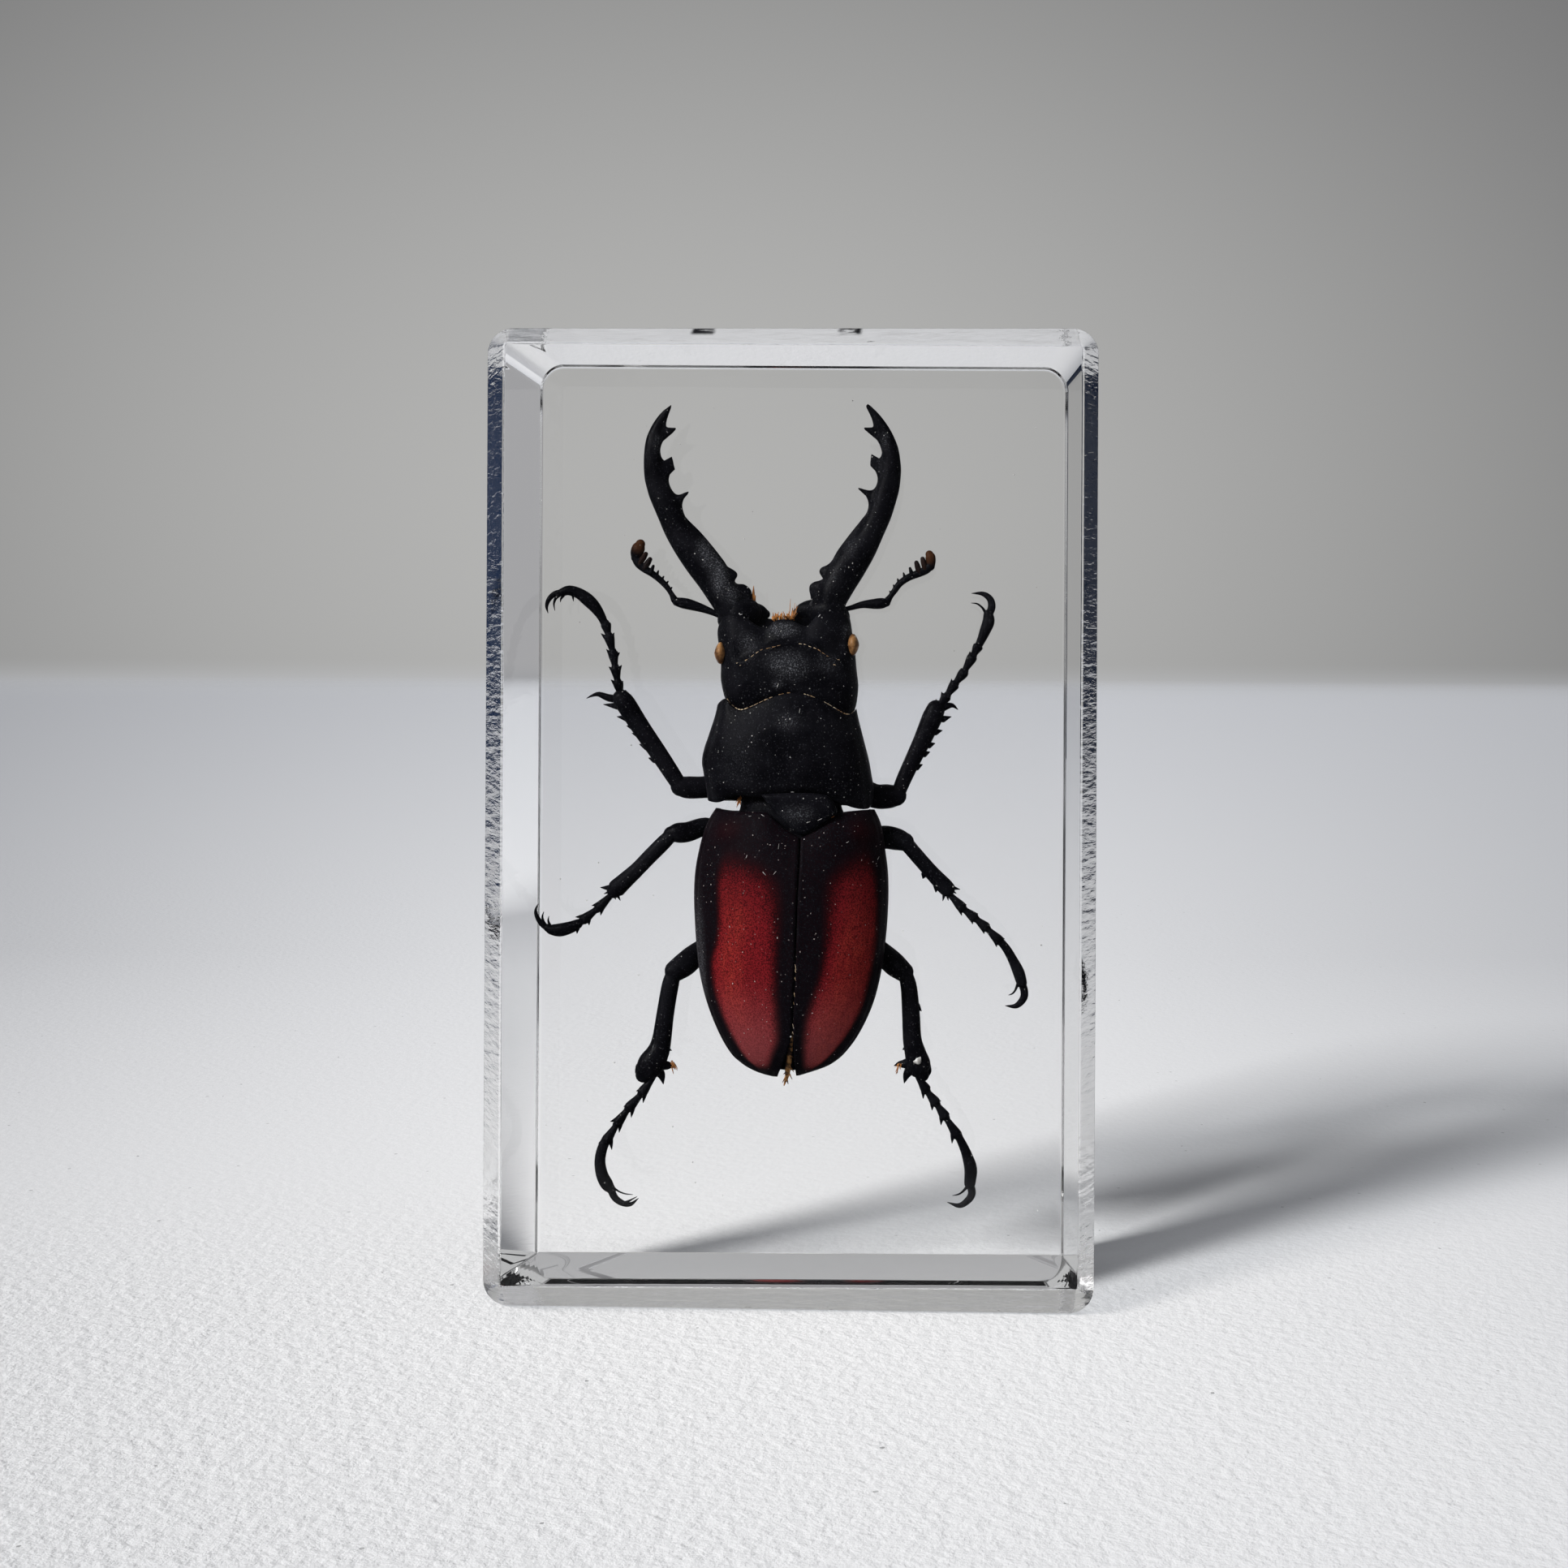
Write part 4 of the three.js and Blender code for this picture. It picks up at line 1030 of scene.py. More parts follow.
wingCase = {
    "edgeY": 1.3,
    "thickness": 0.55,
    "left": [(24.25, -2.4, -1.62), (24.6, -3.7, -1.5), (25.2, -5.0, -1.25), (25.8, -5.9, -1.0), (26.8, -7.0, -0.65),
             (29.1, -8.4, 0.1), (32.5, -9.8, 0.3), (35.9, -10.7, 0.5), (39.3, -11.15, 0.62), (42.7, -11.4, 0.7),
             (45.8, -11.5, 0.8), (48.4, -11.35, 0.88), (50.7, -10.95, 0.94), (52.8, -10.4, 0.98), (54.4, -9.75, 1.0),
             (55.6, -9.0, 1.0)],  # height, outer edge, seam
    "right": [(24.4, 1.1, 0.58), (24.8, 2.4, 0.56), (25.3, 3.8, 0.54), (25.8, 4.8, 0.52), (26.9, 6.15, 0.48),
              (29.2, 7.85, 0.42), (32.6, 9.45, 0.5), (36.0, 10.35, 0.7), (39.4, 10.85, 0.82), (42.8, 11.15, 0.9),
              (45.9, 11.25, 1.0), (48.5, 11.15, 1.08), (50.8, 10.85, 1.14), (53.0, 10.55, 1.18), (54.4, 10.15, 1.2),
              (55.6, 9.55, 1.2)],
    "top": [(24.25, 0.75), (24.6, 0.3), (25.2, -0.6), (26.8, -2.1), (29.3, -3.6), (32.5, -4.75), (37.0, -5.6),
            (43.0, -6.0), (48.4, -5.8), (52.0, -5.35), (54.2, -4.9), (55.6, -4.4)],
    "front": [(-9.0, 55.6), (-7.3, 55.4), (-5.6, 55.3), (-2.9, 55.3), (-1.8, 54.4), (-0.5, 53.3), (0.6, 52.7),
              (1.1, 52.4), (1.6, 52.6), (3.4, 53.7), (4.6, 54.6), (5.5, 55.2), (8.2, 55.5), (9.6, 55.5)],
    "leftPatch": [(0.0, 0.42, 0.60), (0.05, 0.32, 0.68), (0.125, 0.235, 0.76), (0.19, 0.212, 0.80),
                  (0.31, 0.215, 0.832), (0.44, 0.215, 0.825), (0.5, 0.215, 0.772), (0.56, 0.215, 0.735),
                  (0.63, 0.23, 0.725), (0.69, 0.25, 0.73), (0.75, 0.285, 0.745), (0.83, 0.42, 0.745),
                  (1.0, 0.5, 0.7)],  # along, inner edge, outer edge
    "rightPatch": [(0.0, 0.36, 0.54), (0.05, 0.26, 0.63), (0.125, 0.212, 0.735), (0.19, 0.208, 0.795),
                   (0.25, 0.222, 0.83), (0.38, 0.31, 0.85), (0.5, 0.36, 0.868), (0.63, 0.39, 0.86),
                   (0.75, 0.42, 0.855), (0.83, 0.54, 0.84), (1.0, 0.64, 0.8)],
    "patchSpan": (24.3, 31.1),  # where the patch rows start, and their length
    "patchEnds": ((0.02, 0.07), (0.66, 0.90)),
    # a faint painted red glint at each shoulder
    "shoulderRedGlint": (0.17, 0.93, 0.05, 0.74, 0.17),
    # a painted highlight band across each red patch
    "paintedHighlight": (0.8, 0.7, 0.13),  # strength, place across the patch and reach
    "paintedHighlightEnds": ((0.12, 0.3), (0.6, 0.78)),
    # painted light on the right case, which is turned away from the key light
    "extraPaintedLight": {"left": 0.0, "right": 1.0},
    "groove": (0.16, 0.955, 0.016),
    "seamRidge": (0.10, 0.3),
    "shoulder": (0.45, 7.6, 1.3, 53.4, 1.3),
    "frontBlend": (46.0, 55.6),
    "swell": 0.86,
    "crowding": 1.15,  # closer rings at the tip
    "leastReach": 0.1,
    "leastRise": 0.12,
    "across": 44,
    "steps": 84,
}


def makeWingCase(side):
    sign = -1 if side == "left" else 1
    bm = startMesh("redPatch", "redPaintedHighlight")
    across, steps, edgeY = wingCase["across"], wingCase["steps"], wingCase["edgeY"]
    low, high = wingCase[side][0][0], wingCase[side][-1][0]
    lips = [0.25, 0.55, 0.8, 0.93]
    rings = [(low, lip) for lip in lips]
    rings += [(low + (high - low) * (i / steps) ** wingCase["crowding"], 1.0) for i in range(steps + 1)]
    rings += [(high, 1 - 0.5 * (1 - lip)) for lip in reversed(lips)]

    def share(number):
        return number / across if number <= across else (2 * across + 1 - number) / across

    def place(ring, number):
        height, lip = rings[ring]
        outer, seam = rowAt(wingCase[side], height)
        angle = share(number) * math.pi / 2
        inner = number > across
        skin = wingCase["thickness"] if inner else 0.0
        reach = max(abs(outer - seam) - skin, wingCase["leastReach"])
        rise = max((edgeY - rowAt(wingCase["top"], height)[0]) * lip - skin, wingCase["leastRise"])
        x = seam + sign * reach * math.sin(angle)
        y = edgeY - rise * (math.cos(angle) ** wingCase["swell"] if angle < 1.57 else 0.0)
        if not inner:
            depth, line, wide = wingCase["groove"]
            ridge, reachSeam = wingCase["seamRidge"]
            y += depth * mound(math.sin(angle), line, wide) - ridge * mound(x, seam, reachSeam)
            y -= spot(abs(x), height, *wingCase["shoulder"])
        start, end = wingCase["frontBlend"]
        return Vector((x, y, height + smoothStep(start, end, height) * (rowAt(wingCase["front"], x)[0] - end)))

    made = loft(bm, 2 * across + 2, len(rings), place)
    order = bm.verts.layers.int["order"]
    patch, paintedHighlight = bm.verts.layers.float["redPatch"], bm.verts.layers.float["redPaintedHighlight"]
    foot, length = wingCase["patchSpan"]
    strength, line, reach = wingCase["paintedHighlight"]
    for vert in made:
        along = (vert.co.z - foot) / length
        wide = math.sin(share(vert[order]) * math.pi / 2)
        near, far = rowAt(wingCase[side + "Patch"], along)
        soft = 0.12 + 0.11 * smoothStep(0.4, 0.8, along)
        inside = window(wide, (near - soft, near + soft), (far - 0.07, far + 0.06))
        vert[patch] = inside * window(along, *wingCase["patchEnds"]) + spot(along, wide, *wingCase["shoulderRedGlint"])
        middle = near + (far - near) * line
        shine = mound(wide, middle, reach) * window(along, *wingCase["paintedHighlightEnds"]) * strength
        upper = 1 - 0.7 * smoothStep(0.5, 0.75, along)
        # painted light that brightens the right case, turned away from the key light
        extra = wingCase["extraPaintedLight"][side] * upper * smoothStep(near, near + 0.25, wide)
        vert[paintedHighlight] = vert[patch] * max(shine, extra)
    finishPiece("wingCase" + side.capitalize(), bm, redWingCase, ("elytron_" + side,),
                carriesDust=True)


makeWingCase("left")
makeWingCase("right")
print("wing cases made")


# legs

legs = {  # spines and joints as x and height pairs; spurs, shins and claws also with half widths
    "frontLeft": {
        "thigh": [(-3.5, 4.7, 59.2, 1.2), (-8.6, 3.7, 58.2, 1.4), (-10.63, 3.0, 57.92, 1.29),
            (-12.34, 2.5, 57.91, 1.31), (-13.25, 2.3, 58.05, 1.19)],
        "shin": [(-13.3, 58.05, 0.9), (-14.16, 59.38, 0.97), (-15.79, 61.84, 1.03), (-17.9, 64.88, 1.1),
            (-19.63, 67.54, 1.18), (-20.21, 68.3, 1.1)],
        "spines": [(-16.36, 61.17, -17.03, 61.36), (-17.32, 62.69, -18.13, 62.98), (-17.99, 63.93, -18.99, 64.26),
            (-18.86, 64.97, -19.62, 65.11), (-19.62, 66.02, -20.77, 66.2), (-20.77, 67.44, -22.35, 67.62),
            (-19.83, 68.4, -19.74, 69.35)],
        "spurs": [[(-20.4, 68.2, 0.48), (-21.73, 68.39, 0.44), (-22.88, 68.81, 0.3), (-23.64, 68.66, 0.16),
            (-24.35, 68.32, 0.03)]],
        "joints": [(-20.3, 68.58, -20.69, 70.3, -21.5, 70.53, -20.07, 70.39),
            (-20.69, 70.2, -20.99, 72.01, -21.75, 72.05, -20.23, 72.25),
            (-20.99, 71.91, -21.28, 73.82, -22.05, 74.1, -20.47, 73.73),
            (-21.28, 73.72, -21.77, 75.72, -22.68, 75.95, -21.15, 76.06),
            (-21.77, 75.62, -22.16, 77.15, -22.54, 77.14, -21.92, 77.43)],
        "clawJoint": [(-22.06, 76.58, 0.4), (-22.64, 77.91, 0.52), (-23.41, 79.04, 0.69), (-24.27, 79.9, 0.76),
            (-25.32, 80.65, 0.65), (-26.46, 80.98, 0.59), (-27.32, 80.74, 0.48)],
        "claws": [[(-27.32, 80.74, 0.4), (-28.18, 80.54, 0.34), (-28.84, 79.92, 0.29), (-29.12, 79.11, 0.19),
            (-28.97, 78.3, 0.03)], [(-27.51, 80.55, 0.29), (-27.98, 80.07, 0.19), (-28.19, 79.4, 0.12),
            (-28.07, 78.59, 0.03)], [(-27.13, 80.36, 0.19), (-27.41, 79.98, 0.12), (-27.5, 79.59, 0.03)],
            [(-25.99, 80.46, 0.19), (-25.98, 80.08, 0.11), (-25.93, 79.7, 0.03)]],
    },
    "frontRight": {
        "thigh": [(2.3, 4.7, 58.9, 1.2), (7.4, 3.7, 57.8, 1.4), (9.57, 3.0, 56.98, 1.43), (11.09, 2.5, 56.98, 1.43),
            (12.05, 2.3, 57.08, 1.24)],
        "shin": [(12.33, 57.37, 0.81), (12.89, 58.85, 0.89), (13.93, 61.14, 0.95), (15.06, 63.53, 1.05),
            (16.19, 66.11, 1.2), (16.66, 67.25, 1.1)],
        "spines": [(14.5, 60.48, 15.17, 60.77), (15.35, 62.01, 16.02, 62.25), (15.92, 63.06, 16.63, 63.25),
            (16.67, 64.59, 17.48, 64.78), (17.52, 66.11, 18.52, 66.41), (16.28, 67.44, 16.75, 68.44)],
        "spurs": [[(17.14, 67.26, 0.48), (17.99, 67.64, 0.4), (18.66, 67.69, 0.25), (19.28, 67.22, 0.03)]],
        "joints": [(17.04, 67.54, 17.99, 68.88, 17.32, 69.3, 18.42, 68.64),
            (17.89, 68.78, 18.93, 70.27, 18.5, 70.83, 19.31, 69.93),
            (18.84, 70.17, 20.02, 71.7, 19.64, 72.13, 20.5, 71.46),
            (19.92, 71.6, 21.01, 73.56, 20.64, 74.08, 21.44, 73.14),
            (20.96, 73.47, 21.67, 74.8, 21.62, 75.42, 22.05, 74.71)],
        "clawJoint": [(21.39, 74.23, 0.4), (21.95, 75.38, 0.51), (22.42, 76.52, 0.65), (22.8, 77.57, 0.72),
            (22.79, 78.43, 0.59)],
        "claws": [[(22.79, 78.24, 0.44), (23.17, 79.29, 0.46), (22.97, 80.24, 0.4), (22.11, 80.85, 0.27),
            (20.78, 80.9, 0.03)], [(22.41, 78.71, 0.19), (22.03, 79.24, 0.13), (21.45, 79.66, 0.1),
            (20.74, 79.75, 0.03)]],
    },
    "middleLeft": {
        "thigh": [(-4.3, 5.1, 51.9, 1.1), (-8.8, 4.0, 52.6, 1.2), (-10.41, 3.4, 53.25, 1.1),
            (-12.41, 2.7, 52.67, 1.18), (-13.55, 2.4, 52.57, 1.18), (-14.31, 2.3, 52.42, 0.95)],
        "shin": [(-14.41, 52.23, 0.81), (-15.36, 51.27, 0.89), (-16.87, 49.74, 0.88), (-18.29, 48.26, 0.88),
            (-19.9, 46.77, 1.0), (-20.66, 46.06, 1.07), (-20.95, 45.77, 0.9)],
        "spines": [(-18.29, 47.54, -18.62, 46.78), (-19.52, 46.3, -19.99, 45.58)],
        "spurs": [[(-21.42, 46.1, 0.38), (-22.09, 46.1, 0.21), (-22.61, 46.14, 0.03)], [(-20.56, 45.63, 0.32),
            (-20.51, 45.15, 0.19), (-20.23, 44.58, 0.03)], [(-20.94, 45.43, 0.25), (-20.89, 45.05, 0.15),
            (-20.8, 44.72, 0.03)], [(-21.33, 45.72, 0.23), (-21.8, 45.53, 0.13), (-22.18, 45.38, 0.03)]],
        "joints": [(-21.13, 45.43, -22.93, 43.61, -23.6, 43.99, -22.55, 42.85),
            (-22.84, 43.71, -24.74, 42.18, -25.5, 42.65, -23.88, 41.7),
            (-24.64, 42.27, -25.59, 41.6, -25.97, 41.93, -25.3, 40.7)],
        "clawJoint": [(-25.21, 41.84, 0.57), (-26.16, 41.41, 0.72), (-27.3, 41.12, 0.78), (-28.26, 41.16, 0.63),
            (-28.73, 41.35, 0.48)],
        "claws": [[(-28.64, 41.3, 0.4), (-29.4, 41.77, 0.34), (-29.98, 42.53, 0.27), (-30.21, 43.39, 0.17),
            (-29.94, 44.15, 0.03)], [(-28.73, 41.39, 0.25), (-29.17, 41.96, 0.19), (-29.34, 42.63, 0.13),
            (-29.17, 43.3, 0.03)], [(-28.45, 41.59, 0.19), (-28.69, 42.16, 0.12), (-28.65, 42.73, 0.03)]],
    },
    "middleRight": {
        "thigh": [(4.3, 5.1, 51.6, 1.2), (8.8, 4.0, 51.8, 1.4), (10.74, 3.3, 52.13, 1.38),
            (12.17, 2.6, 51.94, 1.31), (13.12, 2.3, 51.66, 1.1)],
        "shin": [(13.22, 51.57, 0.88), (14.08, 50.57, 0.86), (15.33, 49.15, 0.86), (16.48, 47.87, 0.89),
            (17.63, 46.68, 0.97), (18.1, 46.21, 0.95)],
        "spines": [(15.43, 47.82, 15.24, 47.34), (16.86, 46.49, 16.77, 45.73)],
        "spurs": [[(18.39, 46.4, 0.38), (18.96, 46.26, 0.23), (19.63, 46.12, 0.03)], [(17.82, 45.92, 0.3),
            (17.73, 45.35, 0.19), (17.59, 44.73, 0.03)], [(18.11, 45.83, 0.29), (18.16, 45.31, 0.17),
            (18.25, 44.78, 0.03)], [(18.58, 46.02, 0.23), (18.87, 45.83, 0.14), (19.2, 45.64, 0.03)]],
        "joints": [(18.39, 45.55, 20.02, 43.84, 20.4, 44.32, 19.84, 43.03),
            (19.93, 43.93, 21.46, 42.7, 21.74, 43.28, 21.13, 42.04),
            (21.36, 42.8, 22.8, 41.57, 23.17, 41.95, 22.47, 40.9),
            (22.7, 41.66, 24.42, 39.96, 24.9, 40.34, 23.95, 39.38)],
        "clawJoint": [(24.14, 40.34, 0.44), (25.09, 39.2, 0.5), (25.86, 37.87, 0.57), (26.54, 36.44, 0.69),
            (26.92, 35.21, 0.63)],
        "claws": [[(26.83, 35.4, 0.48), (27.22, 34.26, 0.46), (27.12, 33.3, 0.44), (26.27, 32.44, 0.32),
            (24.99, 32.44, 0.03)], [(26.45, 35.01, 0.19), (26.17, 34.35, 0.13), (25.84, 33.96, 0.1),
            (25.36, 33.77, 0.03)]],
    },
    "hindLeft": {
        "thigh": [(-4.3, 5.2, 41.4, 1.3), (-8.8, 4.2, 39.4, 1.5), (-11.38, 3.6, 38.15, 1.39),
            (-12.71, 2.7, 37.1, 1.43), (-13.75, 2.3, 36.38, 1.28)],
        "shin": [(-13.94, 36.14, 0.9), (-14.36, 34.52, 1.0), (-14.87, 31.46, 1.03), (-15.28, 28.41, 1.14),
            (-15.7, 26.89, 1.33), (-16.46, 25.55, 1.57), (-17.03, 24.69, 1.38), (-17.4, 24.21, 0.95)],
        "spines": [(-14.94, 27.46, -14.09, 27.04), (-14.03, 33.95, -13.55, 34.42)],
        "spurs": [[(-15.98, 25.55, 0.76), (-14.84, 25.32, 0.57), (-14.17, 25.28, 0.34), (-13.6, 25.04, 0.03)],
            [(-15.79, 24.79, 0.67), (-15.31, 24.13, 0.48), (-15.06, 23.08, 0.03)], [(-17.69, 24.97, 0.71),
            (-17.88, 24.4, 0.53), (-17.78, 23.92, 0.19)]],
        "joints": [(-16.26, 23.93, -17.68, 21.93, -18.25, 22.26, -17.43, 20.88),
            (-17.58, 22.02, -19.19, 20.2, -19.72, 20.44, -18.81, 19.16),
            (-19.1, 20.3, -20.52, 18.39, -21.28, 18.67, -20.23, 17.39),
            (-20.42, 18.48, -21.84, 16.28, -22.65, 16.09, -21.07, 15.38)],
        "clawJoint": [(-21.65, 16.76, 0.53), (-22.22, 15.42, 0.61), (-22.45, 13.99, 0.65), (-22.2, 12.47, 0.72),
            (-21.62, 11.33, 0.76), (-21.05, 10.67, 0.51)],
        "claws": [[(-21.14, 10.67, 0.46), (-20.66, 9.72, 0.42), (-19.8, 9.1, 0.36), (-18.85, 8.97, 0.25),
            (-17.95, 9.64, 0.03)], [(-21.14, 10.48, 0.29), (-20.47, 9.62, 0.25), (-19.52, 9.25, 0.19),
            (-18.04, 9.97, 0.03)], [(-20.86, 10.95, 0.15), (-20.19, 10.48, 0.1), (-19.43, 10.2, 0.08),
            (-18.57, 10.11, 0.03)]],
    },
    "hindRight": {
        "thigh": [(4.3, 5.2, 41.2, 1.3), (8.8, 4.2, 39.2, 1.5), (10.81, 3.6, 38.08, 1.39),
            (12.06, 2.7, 37.13, 1.39), (13.06, 2.3, 36.37, 1.19)],
        "shin": [(13.3, 36.09, 0.86), (13.69, 34.47, 0.97), (13.94, 31.43, 1.05), (14.1, 28.57, 1.1),
            (14.49, 26.86, 1.26), (14.83, 25.71, 1.41), (15.07, 24.86, 1.24), (15.27, 24.38, 0.86)],
        "spines": [(13.53, 27.61, 12.96, 27.28), (14.65, 32.38, 15.18, 31.81)],
        "spurs": [[(14.31, 25.81, 0.76), (13.16, 25.61, 0.53), (12.59, 25.61, 0.32), (11.97, 25.37, 0.03)],
            [(13.93, 25.04, 0.67), (13.46, 24.28, 0.44), (13.18, 23.33, 0.03)], [(15.64, 25.24, 0.71),
            (15.88, 24.67, 0.53), (15.93, 24.2, 0.19)]],
        "joints": [(14.79, 24.1, 15.85, 22.48, 16.23, 22.86, 15.42, 21.53),
            (15.75, 22.58, 17.0, 20.96, 17.52, 21.25, 16.48, 20.15),
            (16.9, 21.06, 18.1, 19.35, 18.48, 19.69, 17.53, 18.44),
            (18.01, 19.45, 19.59, 17.07, 20.07, 17.22, 18.83, 16.31)],
        "clawJoint": [(19.3, 17.64, 0.44), (19.97, 16.41, 0.5), (20.55, 15.08, 0.61), (21.04, 13.37, 0.76),
            (20.95, 11.65, 0.67)],
        "claws": [[(20.95, 11.65, 0.48), (21.2, 10.51, 0.46), (20.77, 9.65, 0.42), (19.73, 8.98, 0.3),
            (18.3, 9.35, 0.03)], [(20.57, 11.17, 0.19), (20.1, 10.69, 0.13), (19.62, 10.4, 0.1),
            (18.91, 10.26, 0.03)]],
    },
}
legShape = {
    "hip": [(0.35, 4.1, 0.3, 1.3), (0.8, 4.5, 0.1, 1.6), (1.2, 4.6, 0.0, 1.2)],  # share of x, depth, lift, half width
    "shinDepth": 2.1,
    "footDepth": 2.2,
    "clawDepths": (2.65, 1.85, 2.4, 2.2),
    "joint": [(0.0, 0.33), (0.35, 0.42), (0.72, 0.58), (0.92, 0.6), (1.02, 0.46)],  # share of length, half width
    "spikeRoot": 0.62,
    "spikeHalves": (0.36, 0.27, 0.03),
    "spineHalves": (0.42, 0.3, 0.03),
}
legNodes = {"frontLeft": "front_leg_left", "frontRight": "front_leg_right", "middleLeft": "middle_leg_left",
            "middleRight": "middle_leg_right", "hindLeft": "hind_leg_left", "hindRight": "hind_leg_right"}


def spikeRow(root, tip, bend, halves):
    # root, a point at the share bend of the way, and tip
    between = [(1 - bend) * a + bend * b for a, b in zip(root, tip)]
    return [(*point, half) for point, half in zip((root, between, tip), halves)]


def makeLeg(name):
    parts, shinDepth, footDepth = legs[name], legShape["shinDepth"], legShape["footDepth"]
    bm = startMesh()
    hipX, _, hipZ, _ = parts["thigh"][0]
    limb(bm, [(hipX * share, depth, hipZ + lift, half) for share, depth, lift, half in legShape["hip"]],
         sides=18, stepsEach=4, flat=0.75)
    limb(bm, parts["thigh"], sides=18, stepsEach=5, flat=0.8)
    limb(bm, atDepth(parts["shin"], shinDepth), sides=18, stepsEach=5, flat=0.78)
    for row in parts["spines"]:
        thorn(bm, spikeRow(row[:2], row[2:], 1 / 3, legShape["spineHalves"]), shinDepth)
    for spur in parts["spurs"]:
        thorn(bm, spur, footDepth, sides=10)
    for startX, startZ, endX, endZ, *tips in parts["joints"]:
        runX, runZ = endX - startX, endZ - startZ
        limb(bm, [(startX + runX * share, footDepth, startZ + runZ * share, half)
                  for share, half in legShape["joint"]], sides=12, stepsEach=3, flat=0.9)
        root = (startX + runX * legShape["spikeRoot"], startZ + runZ * legShape["spikeRoot"])
        for tip in (tips[:2], tips[2:]):
            thorn(bm, spikeRow(root, tip, 1 / 2, legShape["spikeHalves"]), footDepth)
    limb(bm, atDepth(parts["clawJoint"], footDepth), sides=14, stepsEach=4, flat=0.85)
    for depth, claw in zip(legShape["clawDepths"], parts["claws"]):
        slope = (depth - footDepth) / (len(claw) - 1)
        limb(bm, [(x, footDepth + slope * i, z, half) for i, (x, z, half) in enumerate(claw)],
             sides=10, stepsEach=5, flat=0.75, domes=(True, False))
    finishPiece(name + "Leg", bm, blackShell, (legNodes[name],))


for legName in legs:
    makeLeg(legName)
print("legs made")


# hairs, the folded wing and dust

hairs = {
    "seed": 7,
    "ridgeDashes": [(-6.35, 72.55, 0.25), (-5.95, 72.3, 0.2), (-5.2, 72.95, 0.7), (-4.55, 73.4, 0.6),
                    (-4.0, 73.8, 0.5), (-3.5, 74.1, 0.4), (-2.7, 74.3, 0.7), (-2.05, 74.45, 0.6),
                    (-1.5, 74.6, 0.5), (1.0, 74.8, 0.5), (1.5, 74.75, 0.35), (2.1, 74.5, 0.5), (2.7, 74.3, 0.5),
                    (3.2, 74.05, 0.6), (3.7, 73.7, 0.6), (4.15, 73.4, 0.4), (5.4, 73.0, 0.35), (4.95, 72.4, 0.4)],
    "dashShare": 0.36,  # half a dash as a share of its row's length
    "collarSpan": (-7.6, 7.3),
    "collarGaps": [(-0.1, 1.4), (4.6, 5.0)],
    "collarFull": (-5.6, 5.0),  # beyond these no dash is left out
    "collarChance": 0.72,
    "seamBristles": 14,
    "seamSpan": (28.0, 38.0),
    "brushFoot": (-2.4, 0.1, 77.75),
    "brushStrands": 70,
    "longHairs": [(-0.35, 80.1), (0.15, 79.6), (0.35, 79.4)],
    "palps": [((-4.75, 0.6, 79.3), (-4.68, 0.5, 81.6), 0.24), ((-4.6, 0.6, 79.3), (-4.45, 0.5, 80.5), 0.16)],
    "tufts": [((-6.05, -1.6, 56.9), (-0.25, -0.75), 0.9, 12), ((4.7, -3.6, 55.1), (0.6, 0.3), 0.7, 7),
              ((-14.0, 1.5, 25.6), (0.35, -0.8), 0.9, 10), ((12.6, 1.5, 25.5), (-0.3, -0.8), 0.9, 10)],
}


def strand(bm, root, tip, half, bow=0.0, sides=5):
    middle = (root + tip) / 2 + Vector((0, -bow, 0))
    limb(bm, [(*root, half), (*middle, half * 0.9), (*tip, half * 0.35)], sides=sides, stepsEach=2, flat=1.0,
         domes=(False, False))


def dashOnBack(bm, x, z, run, half, bow):
    ends = [backAt(x + sign * run.x, z + sign * run.z, 0.03) for sign in (-1, 1)]
    strand(bm, *ends, half, bow)


def makeGoldLines():
    dice = random.Random(hairs["seed"])
    bm = startMesh()
    for x, z, length in hairs["ridgeDashes"]:
        slope = rowAt(head["ridge"], x + 0.3)[0] - rowAt(head["ridge"], x - 0.3)[0]
        run = Vector((0.6, 0, slope)).normalized() * length * hairs["dashShare"]
        dashOnBack(bm, x, z, run, 0.03 + 0.025 * dice.random(), 0.03)
    x, collarEnd = hairs["collarSpan"]
    fullLeft, fullRight = hairs["collarFull"]
    while x < collarEnd:
        length = dice.uniform(0.2, 0.55)
        hidden = any(low < x + length / 2 < high for low, high in hairs["collarGaps"])
        chance = 1.0 if x < fullLeft or x > fullRight else hairs["collarChance"]
        if not hidden and dice.random() < chance:
            lift = 0.05 + 0.05 * dice.random()
            ends = [backAt(px, rowAt(shield["front"], px)[0] + 0.05, lift) for px in (x, x + length)]
            if (ends[1] - ends[0]).length < 1.6:
                strand(bm, *ends, dice.uniform(0.025, 0.06) * (1.5 if abs(x) > 5.4 else 1.0), 0.02)
        x += length + dice.uniform(0.0, 0.18)
    for number in range(hairs["seamBristles"]):  # pale bristles in the seam between the wing cases
        z = dice.uniform(*hairs["seamSpan"])
        x = (rowAt(wingCase["left"], z)[1] + rowAt(wingCase["right"], z)[1]) / 2 + dice.uniform(-0.05, 0.05)
        root = backAt(x + 0.12, z, 0.02)
        strand(bm, root, root + Vector((-0.1, -0.05, dice.uniform(0.2, 0.45))), dice.uniform(0.009, 0.016))
    finishPiece("goldLines", bm, goldHair)


